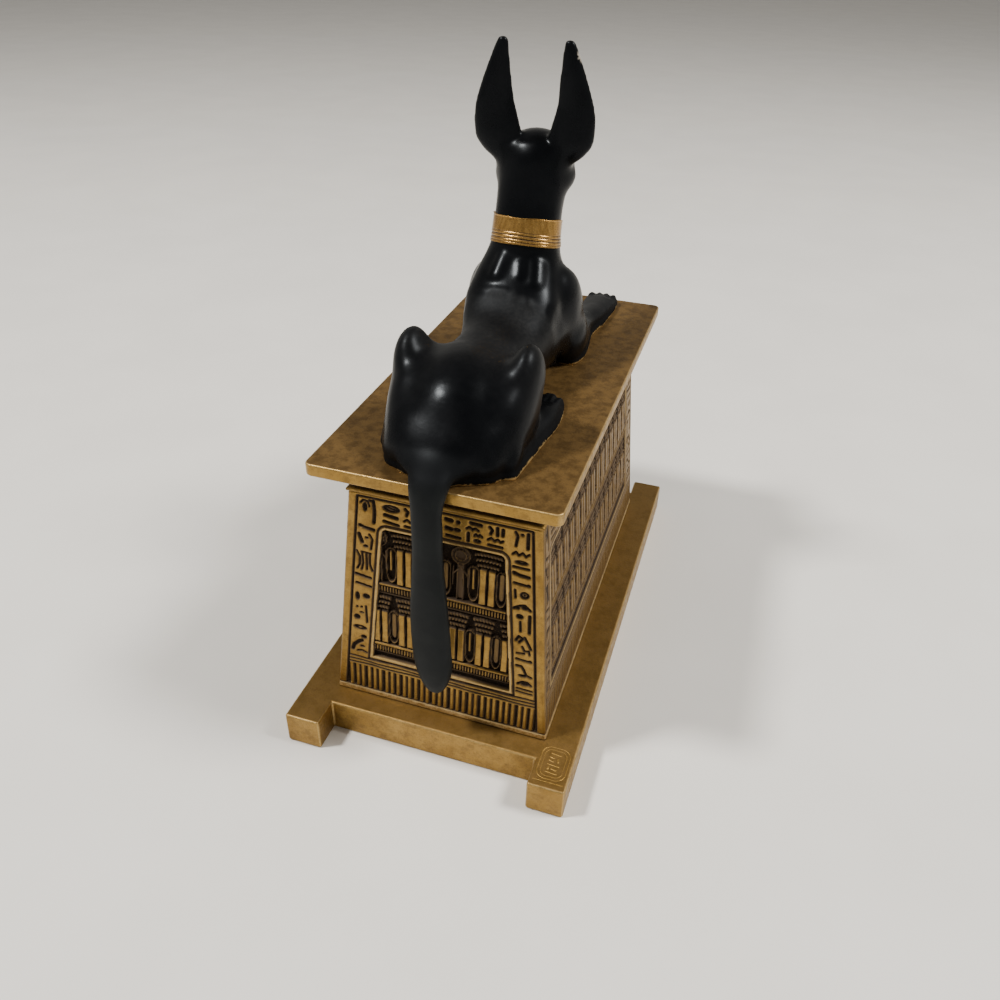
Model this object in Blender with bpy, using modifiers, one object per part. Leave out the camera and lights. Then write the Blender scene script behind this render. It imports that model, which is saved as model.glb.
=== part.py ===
"""Anubis statue: a black resin jackal lying on a gilt shrine chest with a sled base.

Blender 4.5. The sizes below are in millimetres and the objects are in metres, with +Z up.
The jackal faces -Y. The origin is at the middle of the underside of the sled.
"""
import math

import bmesh
import bpy
from mathutils import Matrix, Vector

MM = 0.001
GAP = 0.3  # between the jackal and the slab it rests on

# Sled
SLED_WIDTH = 90.0
SLED_LENGTH = 169.5
SLED_HEIGHT = 11.4
RUNNER_WIDTH = 11.5
RUNNER_REACH = 9.4  # how far the runners stand past the crosspieces

# Chest: battered walls, then a cove and a flat slab
CHEST_WIDTH = 69.4
CHEST_LENGTH = 136.4
WALL_HEIGHT = 74.2
WALL_LEAN = 0.085  # inward run for each unit of rise
COVE_SETBACK = 1.3
COVE_STEPS = 4
SLAB_WIDTH = 71.0
SLAB_LENGTH = 144.2
SLAB_THICKNESS = 3.8
SLAB_TOP = 98.4
SLAB_LIP = 1.5  # the slab stands this far past the top of the cove

# Relief on the walls: heights are measured up the wall from the sled
FLUTE_LOW = 2.4
FLUTE_HIGH = 10.8
FLUTE_PITCH = 2.2
FLUTE_DEPTH = 0.5
POST_WIDTH = 2.5
FRAME_LOW = 15.7
FRAME_HIGH = 63.9
FRAME_BEAD = 0.55
RECESS_DEPTH = 1.5
RAISED = 1.2  # how far the emblems stand out of the recess
REGISTER_HEIGHTS = (23.2, 44.6)  # foot of the shafts in each register
SHAFT_HEIGHT = 11.4
CAP_HEIGHT = 5.2
CAP_WIDTH = 7.2
EMBLEM_PITCH = 12.5  # from a pair of pillars to the pair of knots beside it
EMBLEM_SHIFT = -1.5  # the middle pair of knots stands a little off the middle
SHAFT_WIDTH = 1.9
SHAFT_SPACING = 2.6
KNOT_SPACING = 2.1  # from the middle of a pair of knots to each of its loops
STROKE_DEPTH = 0.35
STROKE_WIDTH = 0.9
STROKE_REACH = 52.8  # height of the column that the rows of strokes share

# Jackal
VOXEL = 0.95
KEPT_TRIANGLES = 0.056  # share of the remeshed jackal's triangles
HEAD_SHIFT = 0.4  # the neck leans this far to one side
LEFT_TUCK = 3.2  # the left hind foot lies this much closer in than the right one
TAIL_THICKNESS = 2.5  # half of it
TAIL_Y = SLAB_LENGTH / 2 + GAP + 0.25 + TAIL_THICKNESS
TAIL_X = -0.7

BLACK = (0.012, 0.012, 0.013, 1.0)
GOLD = (0.32, 0.20, 0.07, 1.0)


# ---------------------------------------------------------------- helpers

def clear_scene():
    for thing in list(bpy.data.objects):
        bpy.data.objects.remove(thing, do_unlink=True)


def new_collection(name):
    made = bpy.data.collections.new(name)
    bpy.context.scene.collection.children.link(made)
    return made


def new_material(name, colour, roughness, metallic):
    made = bpy.data.materials.new(name)
    made.use_nodes = True
    shader = made.node_tree.nodes["Principled BSDF"]
    shader.inputs["Base Color"].default_value = colour
    shader.inputs["Roughness"].default_value = roughness
    shader.inputs["Metallic"].default_value = metallic
    return made


def mesh_object(name, bm, collection):
    """Turns a bmesh in millimetres into an object in metres."""
    bmesh.ops.scale(bm, vec=(MM, MM, MM), verts=bm.verts)
    bmesh.ops.recalc_face_normals(bm, faces=bm.faces)
    mesh = bpy.data.meshes.new(name)
    bm.to_mesh(mesh)
    bm.free()
    made = bpy.data.objects.new(name, mesh)
    collection.objects.link(made)
    return made


def as_cutter(thing):
    thing.hide_render = True
    thing.display_type = "WIRE"
    return thing


def boolean(target, tool, operation):
    step = target.modifiers.new(tool.name, "BOOLEAN")
    step.operation = operation
    step.solver = "EXACT"
    step.object = tool
    return step


def mirrored(rows):
    """The same stations on the other side of the body."""
    return [(-row[0],) + tuple(row[1:]) for row in rows]


def shifted(rows, across):
    """The same stations moved sideways."""
    return [(row[0] + across,) + tuple(row[1:]) for row in rows]


# ---------------------------------------------------------------- shrine

def wall_half(length, height):
    """Half of a wall's length at a height up the wall."""
    return length / 2 - WALL_LEAN * height


def add_taper(bm, low, high, z_low, z_high):
    """A box whose top is another size than its foot; sizes are (x, y)."""
    verts = bmesh.ops.create_cube(bm, size=1.0)["verts"]
    for vert in verts:
        size, z = (high, z_high) if vert.co.z > 0 else (low, z_low)
        vert.co = Vector((vert.co.x * size[0], vert.co.y * size[1], z))


def add_box(bm, low, high):
    verts = bmesh.ops.create_cube(bm, size=1.0)["verts"]
    for vert in verts:
        vert.co = Vector([
            high[axis] if vert.co[axis] > 0 else low[axis] for axis in range(3)
        ])
    return verts


def make_sled(collection):
    bm = bmesh.new()
    half_x, half_y = SLED_WIDTH / 2, SLED_LENGTH / 2
    deck_y = half_y - RUNNER_REACH
    add_box(bm, (-half_x, -deck_y, 0), (half_x, deck_y, SLED_HEIGHT))
    sled = mesh_object("shrine", bm, collection)
    runners = bmesh.new()
    for side in (-1, 1):
        edges = sorted((side * half_x, side * (half_x - RUNNER_WIDTH)))
        add_box(runners, (edges[0], -half_y, 0), (edges[1], half_y, SLED_HEIGHT))
    return sled, runners


def cove_rings():
    """(half x, half y, z) up the cove, from the top of the wall to the slab."""
    z_wall = SLED_HEIGHT + WALL_HEIGHT
    z_slab = SLAB_TOP - SLAB_THICKNESS
    lean = WALL_LEAN * WALL_HEIGHT
    low = (CHEST_WIDTH / 2 - lean - COVE_SETBACK, CHEST_LENGTH / 2 - lean - COVE_SETBACK)
    high = (SLAB_WIDTH / 2 - SLAB_LIP, SLAB_LENGTH / 2 - SLAB_LIP)
    rings = []
    for step in range(COVE_STEPS + 1):
        turn = step / COVE_STEPS * math.pi / 2
        out, rise = 1 - math.cos(turn), math.sin(turn)
        rings.append((
            low[0] + (high[0] - low[0]) * out,
            low[1] + (high[1] - low[1]) * out,
            z_wall + (z_slab - z_wall) * rise,
        ))
    return rings


def make_cove(collection):
    """A square-cornered cove, one ring of corners for each step."""
    bm = bmesh.new()
    rings = cove_rings()
    rings.insert(0, (rings[0][0], rings[0][1], rings[0][2] - 1.0))
    rings.append((rings[-1][0], rings[-1][1], rings[-1][2] + 1.0))
    loops = []
    for half_x, half_y, z in rings:
        corners = ((half_x, half_y), (-half_x, half_y), (-half_x, -half_y), (half_x, -half_y))
        loops.append([bm.verts.new((x, y, z)) for x, y in corners])
    skin_rings(bm, loops)
    return as_cutter(mesh_object("cove", bm, collection))


def skin_rings(bm, loops):
    """Joins rings of as many corners each with faces, and closes both ends."""
    count = len(loops[0])
    for low, high in zip(loops, loops[1:]):
        for i in range(count):
            j = (i + 1) % count
            bm.faces.new((low[i], low[j], high[j], high[i]))
    bm.faces.new(list(reversed(loops[0])))
    bm.faces.new(loops[-1])


def wall_matrix(outward, half_depth):
    """Wall space (along, out, up) to the world, for the wall that faces outward."""
    lean = math.atan(WALL_LEAN)
    up_world = Vector((0, 0, 1))
    up = up_world * math.cos(lean) - outward * math.sin(lean)
    out = outward * math.cos(lean) + up_world * math.sin(lean)
    along = out.cross(up)
    foot = outward * half_depth + up_world * SLED_HEIGHT
    turned = Matrix((along, out, up)).transposed().to_4x4()
    return Matrix.Translation(foot) @ turned


def wall_list():
    """(matrix, length of the wall's foot, inset of the frame, tiers on a cap, strokes)."""
    half_x, half_y = CHEST_WIDTH / 2, CHEST_LENGTH / 2
    return (
        (wall_matrix(Vector((0, 1, 0)), half_y), CHEST_WIDTH, 12.0, 3, 8),
        (wall_matrix(Vector((0, -1, 0)), half_y), CHEST_WIDTH, 12.0, 3, 8),
        (wall_matrix(Vector((1, 0, 0)), half_x), CHEST_LENGTH, 11.5, 1, 5),
        (wall_matrix(Vector((-1, 0, 0)), half_x), CHEST_LENGTH, 11.5, 1, 5),
    )


def add_wall_box(bm, matrix, along, up, out):
    """A box on a wall: each argument after matrix is a (low, high) pair."""
    verts = add_box(bm, (along[0], out[0], up[0]), (along[1], out[1], up[1]))
    bmesh.ops.transform(bm, matrix=matrix, verts=verts)


def frame_half(length, inset, height):
    """Half of the framed panel's width, which narrows a little upward."""
    return length / 2 - inset - 0.04 * (height - FRAME_LOW) - 1.0


def add_recess(bm, matrix, length, inset):
    """The sunk panel inside the bead, a box that narrows upward."""
    low, high = FRAME_LOW + FRAME_BEAD, FRAME_HIGH - FRAME_BEAD
    verts = add_box(bm, (-1, -RECESS_DEPTH, low), (1, 4.0, high))
    for vert in verts:
        vert.co.x *= frame_half(length, inset, vert.co.z) - FRAME_BEAD
    bmesh.ops.transform(bm, matrix=matrix, verts=verts)


def add_flutes(bm, matrix, length):
    half = length / 2 - POST_WIDTH - 0.7
    count = int(2 * half / FLUTE_PITCH)
    for i in range(count + 1):
        centre = (i - count / 2) * FLUTE_PITCH
        add_wall_box(
            bm, matrix, (centre - 0.45, centre + 0.45), (FLUTE_LOW, FLUTE_HIGH),
            (-FLUTE_DEPTH, 2.0),
        )


def add_strokes(bm, matrix, length, inset, rows):
    """Rows of plain strokes for the inscription, down both sides and across the top."""
    depth = (-STROKE_DEPTH, 2.0)
    slim = STROKE_WIDTH / 2
    for side in (-1, 1):
        for row in range(rows):
            height = FRAME_LOW + 2.5 + row * STROKE_REACH / rows
            outer = wall_half(length, height) - POST_WIDTH - 1.4
            inner = frame_half(length, inset, height) + 1.8
            middle = (outer + inner) / 2
            if row % 3 == 1:
                reach = (side * middle - slim, side * middle + slim)
                add_wall_box(bm, matrix, reach, (height - 1.7, height + 1.9), depth)
            else:
                reach = sorted((side * outer, side * inner))
                add_wall_box(bm, matrix, reach, (height - slim, height + slim), depth)
    span = frame_half(length, inset, FRAME_HIGH) - 4.0
    count = round(2 * span / (6.4 if length < CHEST_LENGTH else 12.8))
    low = FRAME_HIGH + 2.4
    for i in range(count):
        centre = (i - (count - 1) / 2) * 2 * span / count
        if i % 2:
            add_wall_box(bm, matrix, (centre - slim, centre + slim), (low, low + 4.2), depth)
        else:
            add_wall_box(bm, matrix, (centre - 2.0, centre + 2.0), (low + 1.7, low + 2.6), depth)


def emblem_columns(half):
    """(centre, kind) along a panel: pairs of pillars and pairs of knots by turns.

    Where only half of a pair of knots fits beside the frame, the column is a lone knot.
    """
    count = int(half / EMBLEM_PITCH) + 2
    columns = []
    for i in range(-count, count + 1):
        centre = i * EMBLEM_PITCH + EMBLEM_SHIFT
        kind = "pillars" if i % 2 else "knots"
        reach = CAP_WIDTH / 2 if i % 2 else 3.8
        room = half - 0.5 - abs(centre)
        if room > reach:
            columns.append((centre, kind))
        elif kind == "knots" and room > 1.6 - 2 * KNOT_SPACING:
            toward_middle = -KNOT_SPACING if centre > 0 else KNOT_SPACING
            columns.append((centre + toward_middle * 1.6, "lone knot"))
    return columns


def add_pillars(bm, matrix, centre, foot, out, tiers):
    """Two shafts side by side under a banded cap."""
    for side in (-0.5, 0.5):
        middle = centre + side * SHAFT_SPACING
        reach = (middle - SHAFT_WIDTH / 2, middle + SHAFT_WIDTH / 2)
        add_wall_box(bm, matrix, reach, (foot, foot + SHAFT_HEIGHT), out)
    tier = CAP_HEIGHT / tiers
    reach = (centre - CAP_WIDTH / 2, centre + CAP_WIDTH / 2)
    for i in range(tiers):
        low = foot + SHAFT_HEIGHT + 0.3 + i * tier
        add_wall_box(bm, matrix, reach, (low, low + tier * 0.7), (out[0], out[1] - 0.3))


def add_prism(bm, matrix, centre, height, half_width, half_height, out, sides=6):
    """An upright oval boss with flat facets."""
    loops = []
    for depth in out:
        ring = []
        for i in range(sides):
            turn = 2 * math.pi * i / sides + math.pi / 2
            place = Vector((
                centre + half_width * math.cos(turn), depth,
                height + half_height * math.sin(turn),
            ))
            ring.append(bm.verts.new(matrix @ place))
        loops.append(ring)
    skin_rings(bm, loops)


def add_knots(bm, matrix, centre, foot, out, lone):
    """Looped knots: a pair of long hanging loops under a round head, or one loop."""
    for side in (0,) if lone else (-1, 1):
        middle = centre + side * KNOT_SPACING
        add_prism(bm, matrix, middle, foot + 5.7, 1.7, 5.5, out)
    if not lone:
        add_prism(bm, matrix, centre, foot + SHAFT_HEIGHT + 2.5, 3.0, 2.5, out)


def add_emblems(bm, matrix, length, inset, tiers):
    """Two registers of emblems, each standing on a sill with a band of blocks under it."""
    out = (-RECESS_DEPTH - 0.3, RAISED - RECESS_DEPTH)
    for foot in REGISTER_HEIGHTS:
        half = frame_half(length, inset, foot + SHAFT_HEIGHT + CAP_HEIGHT) - FRAME_BEAD
        for centre, kind in emblem_columns(half):
            if kind == "pillars":
                add_pillars(bm, matrix, centre, foot, out, tiers)
            else:
                add_knots(bm, matrix, centre, foot, out, kind == "lone knot")
        across = (0.4 - half, half - 0.4)
        add_wall_box(bm, matrix, across, (foot - 1.5, foot - 0.5), (out[0], out[1] + 0.1))
        add_wall_box(bm, matrix, across, (foot - 4.3, foot - 2.0), (out[0], out[1] - 0.5))


def add_bead(bm, matrix, length, inset):
    """The rounded bead round a panel, with slightly rounded corners."""
    corner, sides = 1.6, 6
    low, high = FRAME_LOW, FRAME_HIGH
    wide, slim = frame_half(length, inset, low), frame_half(length, inset, high)
    outline = [
        (-wide, low), (wide, low), (slim, high - corner),
        (slim - corner, high), (corner - slim, high), (-slim, high - corner),
    ]
    loops = []
    for i, here in enumerate(outline):
        before = Vector(outline[i - 1])
        after = Vector(outline[(i + 1) % len(outline)])
        here = Vector(here)
        into, out_of = (here - before).normalized(), (after - here).normalized()
        mitre = Vector((into.y + out_of.y, -into.x - out_of.x)).normalized()
        reach = FRAME_BEAD / max(0.5, mitre.dot(Vector((into.y, -into.x))))
        ring = []
        for k in range(sides):
            turn = 2 * math.pi * (k + 0.5) / sides
            flat = here + mitre * (reach * math.cos(turn))
            place = Vector((flat.x, FRAME_BEAD * math.sin(turn), flat.y))
            ring.append(bm.verts.new(matrix @ place))
        loops.append(ring)
    for i, ring in enumerate(loops):
        following = loops[(i + 1) % len(loops)]
        for k in range(sides):
            m = (k + 1) % sides
            bm.faces.new((ring[k], ring[m], following[m], following[k]))


def add_foot_bead(bm, matrix, length):
    """The thin bead along the foot of a wall."""
    half = length / 2 - 1.6
    add_wall_box(bm, matrix, (-half, half), (0.6, 1.6), (-0.4, 0.4))


def add_cartouche(bm, x, y):
    """A raised, round-ended ring on top of a runner's end."""
    sides, rise = 8, 0.35
    rings = []
    for half_x, half_y in ((4.1, 5.6), (3.3, 4.8)):
        for z in (SLED_HEIGHT - 0.4, SLED_HEIGHT + rise):
            ring = []
            for i in range(sides):
                turn = 2 * math.pi * (i + 0.5) / sides
                across = math.copysign(abs(math.cos(turn)) ** 0.6, math.cos(turn))
                ahead = math.copysign(abs(math.sin(turn)) ** 0.6, math.sin(turn))
                ring.append(bm.verts.new((x + half_x * across, y + half_y * ahead, z)))
            rings.append(ring)
    outer_low, outer_high, inner_low, inner_high = rings
    for i in range(sides):
        j = (i + 1) % sides
        bm.faces.new((outer_low[i], outer_low[j], outer_high[j], outer_high[i]))
        bm.faces.new((outer_high[i], outer_high[j], inner_high[j], inner_high[i]))
        bm.faces.new((inner_high[i], inner_high[j], inner_low[j], inner_low[i]))
        bm.faces.new((inner_low[i], inner_low[j], outer_low[j], outer_low[i]))


def make_shrine(kept, tools):
    shrine, runners = make_sled(kept)
    x = (SLED_WIDTH - RUNNER_WIDTH) / 2
    y = SLED_LENGTH / 2 - RUNNER_REACH
    boolean(shrine, as_cutter(mesh_object("runners", runners, tools)), "UNION")

    chest = bmesh.new()
    lean = 2 * WALL_LEAN * WALL_HEIGHT
    add_taper(
        chest, (CHEST_WIDTH, CHEST_LENGTH), (CHEST_WIDTH - lean, CHEST_LENGTH - lean),
        SLED_HEIGHT, SLED_HEIGHT + WALL_HEIGHT,
    )
    boolean(shrine, as_cutter(mesh_object("chest", chest, tools)), "UNION")
    boolean(shrine, make_cove(tools), "UNION")
    slab = bmesh.new()
    half_x, half_y = SLAB_WIDTH / 2, SLAB_LENGTH / 2
    add_box(slab, (-half_x, -half_y, SLAB_TOP - SLAB_THICKNESS), (half_x, half_y, SLAB_TOP))
    boolean(shrine, as_cutter(mesh_object("slab", slab, tools)), "UNION")

    sunk, raised = bmesh.new(), bmesh.new()
    for matrix, length, inset, tiers, strokes in wall_list():
        add_recess(sunk, matrix, length, inset)
        if length < CHEST_LENGTH:
            add_flutes(sunk, matrix, length)
        add_strokes(sunk, matrix, length, inset, strokes)
        add_emblems(raised, matrix, length, inset, tiers)
    for side in (-1, 1):
        for end in (-1, 1):
            add_cartouche(raised, side * x, end * y)
    boolean(shrine, as_cutter(mesh_object("sunk_relief", sunk, tools)), "DIFFERENCE")
    boolean(shrine, as_cutter(mesh_object("raised_relief", raised, tools)), "UNION")
    beads = bmesh.new()
    for matrix, length, inset, _, _ in wall_list():
        add_bead(beads, matrix, length, inset)
        add_foot_bead(beads, matrix, length)
    boolean(shrine, as_cutter(mesh_object("beads", beads, tools)), "UNION")
    shrine.data.materials.append(new_material("antique_gold", GOLD, 0.42, 0.55))
    return shrine


# ---------------------------------------------------------------- jackal
# A station is (x, y, z, half width, half height above, half height below). Above is the
# back of the body, the nape of the neck and the rear of an ear.

TORSO = [
    (0, 71.9, 101.0, 4.6, 1.6, 18), (0, 70.6, 102.3, 7.6, 2.6, 26),
    (0, 67.4, 104.8, 11.8, 4.0, 30), (0, 61.8, 107.0, 16.0, 6.4, 32),
    (0, 55.0, 108.5, 17.2, 8.6, 30), (0, 46.0, 109.6, 17.2, 10.6, 24),
    (0, 36.0, 110.5, 16.4, 11.4, 15), (0, 22.0, 110.5, 15.0, 11.2, 13),
    (0, 8.0, 110.5, 15.4, 10.8, 13), (0, -5.0, 110.5, 16.0, 11.8, 13),
    (0, -16.0, 112.0, 15.4, 11.0, 14), (0, -24.0, 113.0, 12.0, 10.0, 14),
    (0, -29.0, 112.0, 6.0, 7.0, 10),
]
HIPS = [
    (0, 66.0, 104.6, 11.6, 3.6, 24), (0, 63.0, 106.0, 15.0, 5.4, 28),
    (0, 58.0, 107.4, 18.0, 7.6, 30), (0, 50.0, 109.0, 19.4, 10.0, 28),
    (0, 42.0, 109.6, 19.4, 11.6, 22), (0, 36.0, 110.5, 17.4, 11.8, 14),
    (0, 30.0, 110.0, 14.6, 10.4, 12),
]
NECK = [
    (0, -10.5, 112.0, 14.0, 9.4, 13), (0, -10.8, 120.5, 13.8, 9.4, 12.5),
    (0.5, -10.6, 129.0, 12.2, 9.2, 11.0), (0.75, -11.4, 137.0, 10.9, 8.8, 9.6),
    (0.75, -13.5, 145.0, 10.5, 8.6, 8.7), (0.4, -16.0, 153.0, 10.3, 8.8, 8.6),
    (0.4, -17.8, 160.0, 9.8, 8.6, 7.0),
]
MANE = [
    (0.2, 16.0, 112.6, 14.8, 8.6, 8), (0.3, 10.0, 113.6, 15.2, 8.6, 8),
    (0.4, 4.8, 116.9, 15.4, 8.2, 8), (0.6, 0.8, 120.9, 15.0, 8.0, 8),
    (0.8, -3.2, 124.9, 13.9, 8.0, 8), (0.8, -7.0, 128.7, 12.7, 8.0, 8),
    (0.8, -9.8, 131.9, 11.6, 7.7, 8), (0.7, -12.4, 135.2, 10.8, 7.2, 8),
]
MUZZLE = [
    (0, -11.5, 157.5, 9.0, 7.4, 7.5), (0, -17.0, 157.8, 11.6, 8.7, 8.2),
    (0, -23.0, 157.6, 10.8, 8.3, 7.8), (0, -29.0, 156.6, 8.6, 7.0, 6.6),
    (0, -36.0, 155.2, 6.3, 5.4, 5.4), (0, -43.0, 154.2, 5.0, 4.4, 4.5),
    (0, -49.0, 153.6, 4.3, 4.0, 3.8), (0, -52.6, 153.6, 2.8, 2.9, 2.5),
]
EAR = [
    (8.8, -15.0, 158.9, 3.2, 2.5, 2.3), (9.9, -15.0, 161.3, 5.7, 2.9, 2.9),
    (10.7, -14.8, 165.0, 7.0, 2.8, 2.8), (11.6, -14.6, 170.3, 6.5, 2.4, 2.4),
    (11.9, -14.3, 175.0, 5.5, 2.0, 2.1), (11.3, -14.0, 180.0, 4.4, 1.7, 1.8),
    (10.5, -13.8, 185.0, 3.2, 1.5, 1.5), (9.7, -13.6, 189.6, 1.9, 1.3, 1.3),
    (9.4, -13.6, 191.4, 1.2, 1.0, 1.0),
]
FORELEG = [
    (14.6, -11.5, 104.0, 3.2, 4.0, 7), (15.2, -17.0, 104.0, 4.5, 5.6, 7),
    (15.0, -25.0, 103.0, 4.2, 4.4, 6), (14.0, -36.0, 102.0, 3.6, 3.2, 5),
    (14.5, -47.0, 101.4, 4.7, 3.0, 5), (14.6, -57.0, 100.9, 5.6, 2.8, 4),
    (14.6, -64.5, 100.5, 5.4, 2.4, 4), (14.6, -68.8, 99.8, 3.9, 1.6, 3),
]
HIND_FOOT = [
    (17.3, 61.0, 100.0, 3.0, 2.6, 3), (17.2, 55.0, 100.6, 3.5, 3.4, 4),
    (17.1, 47.0, 100.2, 3.8, 3.2, 4), (17.3, 39.0, 100.2, 4.1, 3.1, 4),
    (17.8, 31.0, 100.4, 4.6, 3.3, 4), (17.6, 23.0, 100.2, 4.4, 3.1, 4),
    (17.0, 16.4, 99.8, 3.0, 2.1, 3),
]
SHIN = [
    (16.2, 39.5, 122.2, 3.0, 3.0, 3.0), (17.0, 42.5, 117.2, 3.6, 3.4, 3.4),
    (17.4, 48.5, 110.4, 3.5, 3.2, 3.2), (17.0, 55.0, 104.5, 3.3, 3.2, 3.2),
    (16.6, 59.5, 100.6, 3.0, 2.8, 2.8),
]
TAIL = [
    (0.0, 60.0, 106.0, 4.6, 3.2, 3.2), (TAIL_X * 0.4, 66.0, 104.3, 6.0, 3.3, 3.4),
    (TAIL_X * 0.7, 71.0, 101.9, 6.6, 3.3, 3.4), (TAIL_X, TAIL_Y - 1.2, 98.9, 6.2, 3.0, 3.0),
    (TAIL_X, TAIL_Y, 94.0, 5.0, 2.6, 2.6),
    (TAIL_X, TAIL_Y, 88.0, 4.4, TAIL_THICKNESS, TAIL_THICKNESS),
    (TAIL_X, TAIL_Y, 80.0, 4.4, TAIL_THICKNESS, TAIL_THICKNESS),
    (TAIL_X, TAIL_Y, 69.0, 5.1, TAIL_THICKNESS, TAIL_THICKNESS),
    (TAIL_X, TAIL_Y, 60.0, 5.7, TAIL_THICKNESS, TAIL_THICKNESS),
    (TAIL_X - 0.4, TAIL_Y, 47.0, 6.1, TAIL_THICKNESS, TAIL_THICKNESS),
    (TAIL_X - 0.9, TAIL_Y, 38.0, 5.7, TAIL_THICKNESS, TAIL_THICKNESS),
    (TAIL_X - 1.1, TAIL_Y, 32.4, 4.1, 2.2, 2.2), (TAIL_X - 1.2, TAIL_Y, 29.0, 2.0, 1.5, 1.5),
]
# An ellipsoid is (x, y, z, three radii, forward tilt in degrees). One that lies further out
# than the head is made on both sides.
MASSES = [
    (0.0, 43.0, 106.2, 18.4, 21.8, 18.4, 0),      # rump
    (13.0, 44.5, 109.6, 7.8, 16.0, 12.4, -22),    # thigh
    (16.4, 41.4, 118.0, 5.0, 8.2, 10.2, 10),      # knee
    (9.6, 42.0, 113.6, 7.6, 9.5, 7.9, 0),         # between the knee and the rump
    (10.6, 60.0, 103.2, 6.6, 7.8, 9.0, 0),        # haunch over the heel
    (11.9, -12.0, 115.5, 6.7, 10.5, 15.0, -12),   # shoulder
    (14.6, -14.8, 107.2, 5.7, 8.7, 9.5, 0),       # upper arm
    (HEAD_SHIFT, -19.0, 158.2, 11.0, 10.8, 9.5, 0),   # skull
]
HOCK = (17.0, 57.5, 101.6, 3.5, 4.6, 4.4, 0)
CHEEK = (6.4, -18.5, 154.8, 6.0, 6.8, 5.4, 0)
COLLAR_LOW = 135.6
COLLAR_HIGH = 144.2
COLLAR_PROUD = 0.35


def blend(rows, steps):
    """Smooth stations between the given ones, by a Catmull-Rom curve."""
    made = []
    last = len(rows) - 1
    for i in range(last):
        before, start = rows[max(i - 1, 0)], rows[i]
        end, after = rows[i + 1], rows[min(i + 2, last)]
        for step in range(steps):
            t = step / steps
            made.append([
                0.5 * (2 * b + (c - a) * t + (2 * a - 5 * b + 4 * c - d) * t * t
                       + (3 * b - a - 3 * c + d) * t ** 3)
                for a, b, c, d in zip(before, start, end, after)
            ])
    made.append(list(rows[last]))
    return made


def station_ring(bm, row, tangent, sides, power):
    """One ring of a loft: a rounded outline across the path."""
    x, y, z, half_width, above, below = row
    side = Vector((1, 0, 0))
    up = tangent.cross(side).normalized()
    ring = []
    for i in range(sides):
        turn = 2 * math.pi * i / sides
        c, s = math.cos(turn), math.sin(turn)
        across = math.copysign(abs(c) ** (2 / power), c) * half_width
        rise = math.copysign(abs(s) ** (2 / power), s) * (above if s > 0 else below)
        ring.append(bm.verts.new(Vector((x, y, z)) + side * across + up * rise))
    return ring


def add_loft(bm, rows, sides=20, steps=3, power=2.15):
    rows = blend(rows, steps)
    loops = []
    for i, row in enumerate(rows):
        low, high = rows[max(i - 1, 0)], rows[min(i + 1, len(rows) - 1)]
        path = Vector([high[axis] - low[axis] for axis in range(3)])
        tangent = Vector((0, path.y, path.z)).normalized()
        loops.append(station_ring(bm, row, tangent, sides, power))
    skin_rings(bm, loops)


def add_mass(bm, row):
    x, y, z, rx, ry, rz, tilt = row
    matrix = (
        Matrix.Translation((x, y, z))
        @ Matrix.Rotation(math.radians(tilt), 4, "X")
        @ Matrix.Diagonal((rx, ry, rz, 1))
    )
    bmesh.ops.create_uvsphere(bm, u_segments=24, v_segments=14, radius=1, matrix=matrix)


def add_toes(bm, x, y, z, width, length, count=4):
    for i in range(count):
        place = x + (i - (count - 1) / 2) * width
        back = abs(i - (count - 1) / 2) * 0.7
        add_mass(bm, (place, y + back, z, width * 0.55, length, width * 0.62, 0))


def make_jackal(kept, tools):
    bm = bmesh.new()
    for rows in (TORSO, HIPS, MANE, NECK, shifted(MUZZLE, HEAD_SHIFT), TAIL):
        add_loft(bm, rows)
    for rows in (FORELEG, SHIN):
        add_loft(bm, shifted(rows, -LEFT_TUCK / 4))
        add_loft(bm, mirrored(rows))
    for rows in (EAR, mirrored(EAR)):
        add_loft(bm, shifted(rows, HEAD_SHIFT))
    for row in shifted([CHEEK] + mirrored([CHEEK]), HEAD_SHIFT):
        add_mass(bm, row)
    add_loft(bm, shifted(HIND_FOOT, -LEFT_TUCK))
    add_loft(bm, mirrored(HIND_FOOT))
    for row in shifted([HOCK], -LEFT_TUCK) + mirrored([HOCK]):
        add_mass(bm, row)
    for row in MASSES:
        add_mass(bm, row)
        if row[0] > HEAD_SHIFT:
            add_mass(bm, mirrored([row])[0])
    for x in (-14.6, 14.6):
        add_toes(bm, x, -66.2, 100.5, 2.7, 3.6)
    for x in (-17.4, 17.4 - LEFT_TUCK):
        add_toes(bm, x, 19.4, 100.4, 2.1, 3.6)
    jackal = mesh_object("jackal", bm, kept)

    shell = jackal.modifiers.new("one skin", "REMESH")
    shell.mode = "VOXEL"
    shell.voxel_size = VOXEL * MM
    soft = jackal.modifiers.new("soft joints", "SMOOTH")
    soft.factor = 0.5
    soft.iterations = 3
    light = jackal.modifiers.new("fewer faces", "DECIMATE")
    light.ratio = KEPT_TRIANGLES
    boolean(jackal, make_collar(tools), "UNION")
    seat = bmesh.new()
    add_box(seat, (-60, -100, 60), (60, SLAB_LENGTH / 2 + GAP, SLAB_TOP + GAP))
    boolean(jackal, as_cutter(mesh_object("seat", seat, tools)), "DIFFERENCE")
    jackal.data.materials.append(new_material("black_gloss", BLACK, 0.25, 0.0))
    return jackal


def make_collar(tools):
    """The raised collar band, which follows the neck between two heights."""
    rows = [row for row in blend(NECK, 6) if COLLAR_LOW <= row[2] <= COLLAR_HIGH]
    proud = [row[:3] + [size + COLLAR_PROUD for size in row[3:]] for row in rows]
    bm = bmesh.new()
    add_loft(bm, proud, sides=24, steps=1)
    return as_cutter(mesh_object("collar_band", bm, tools))


def main():
    clear_scene()
    kept = new_collection("anubis_statue")
    tools = new_collection("cutters")
    make_shrine(kept, tools)
    make_jackal(kept, tools)


main()
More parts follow.
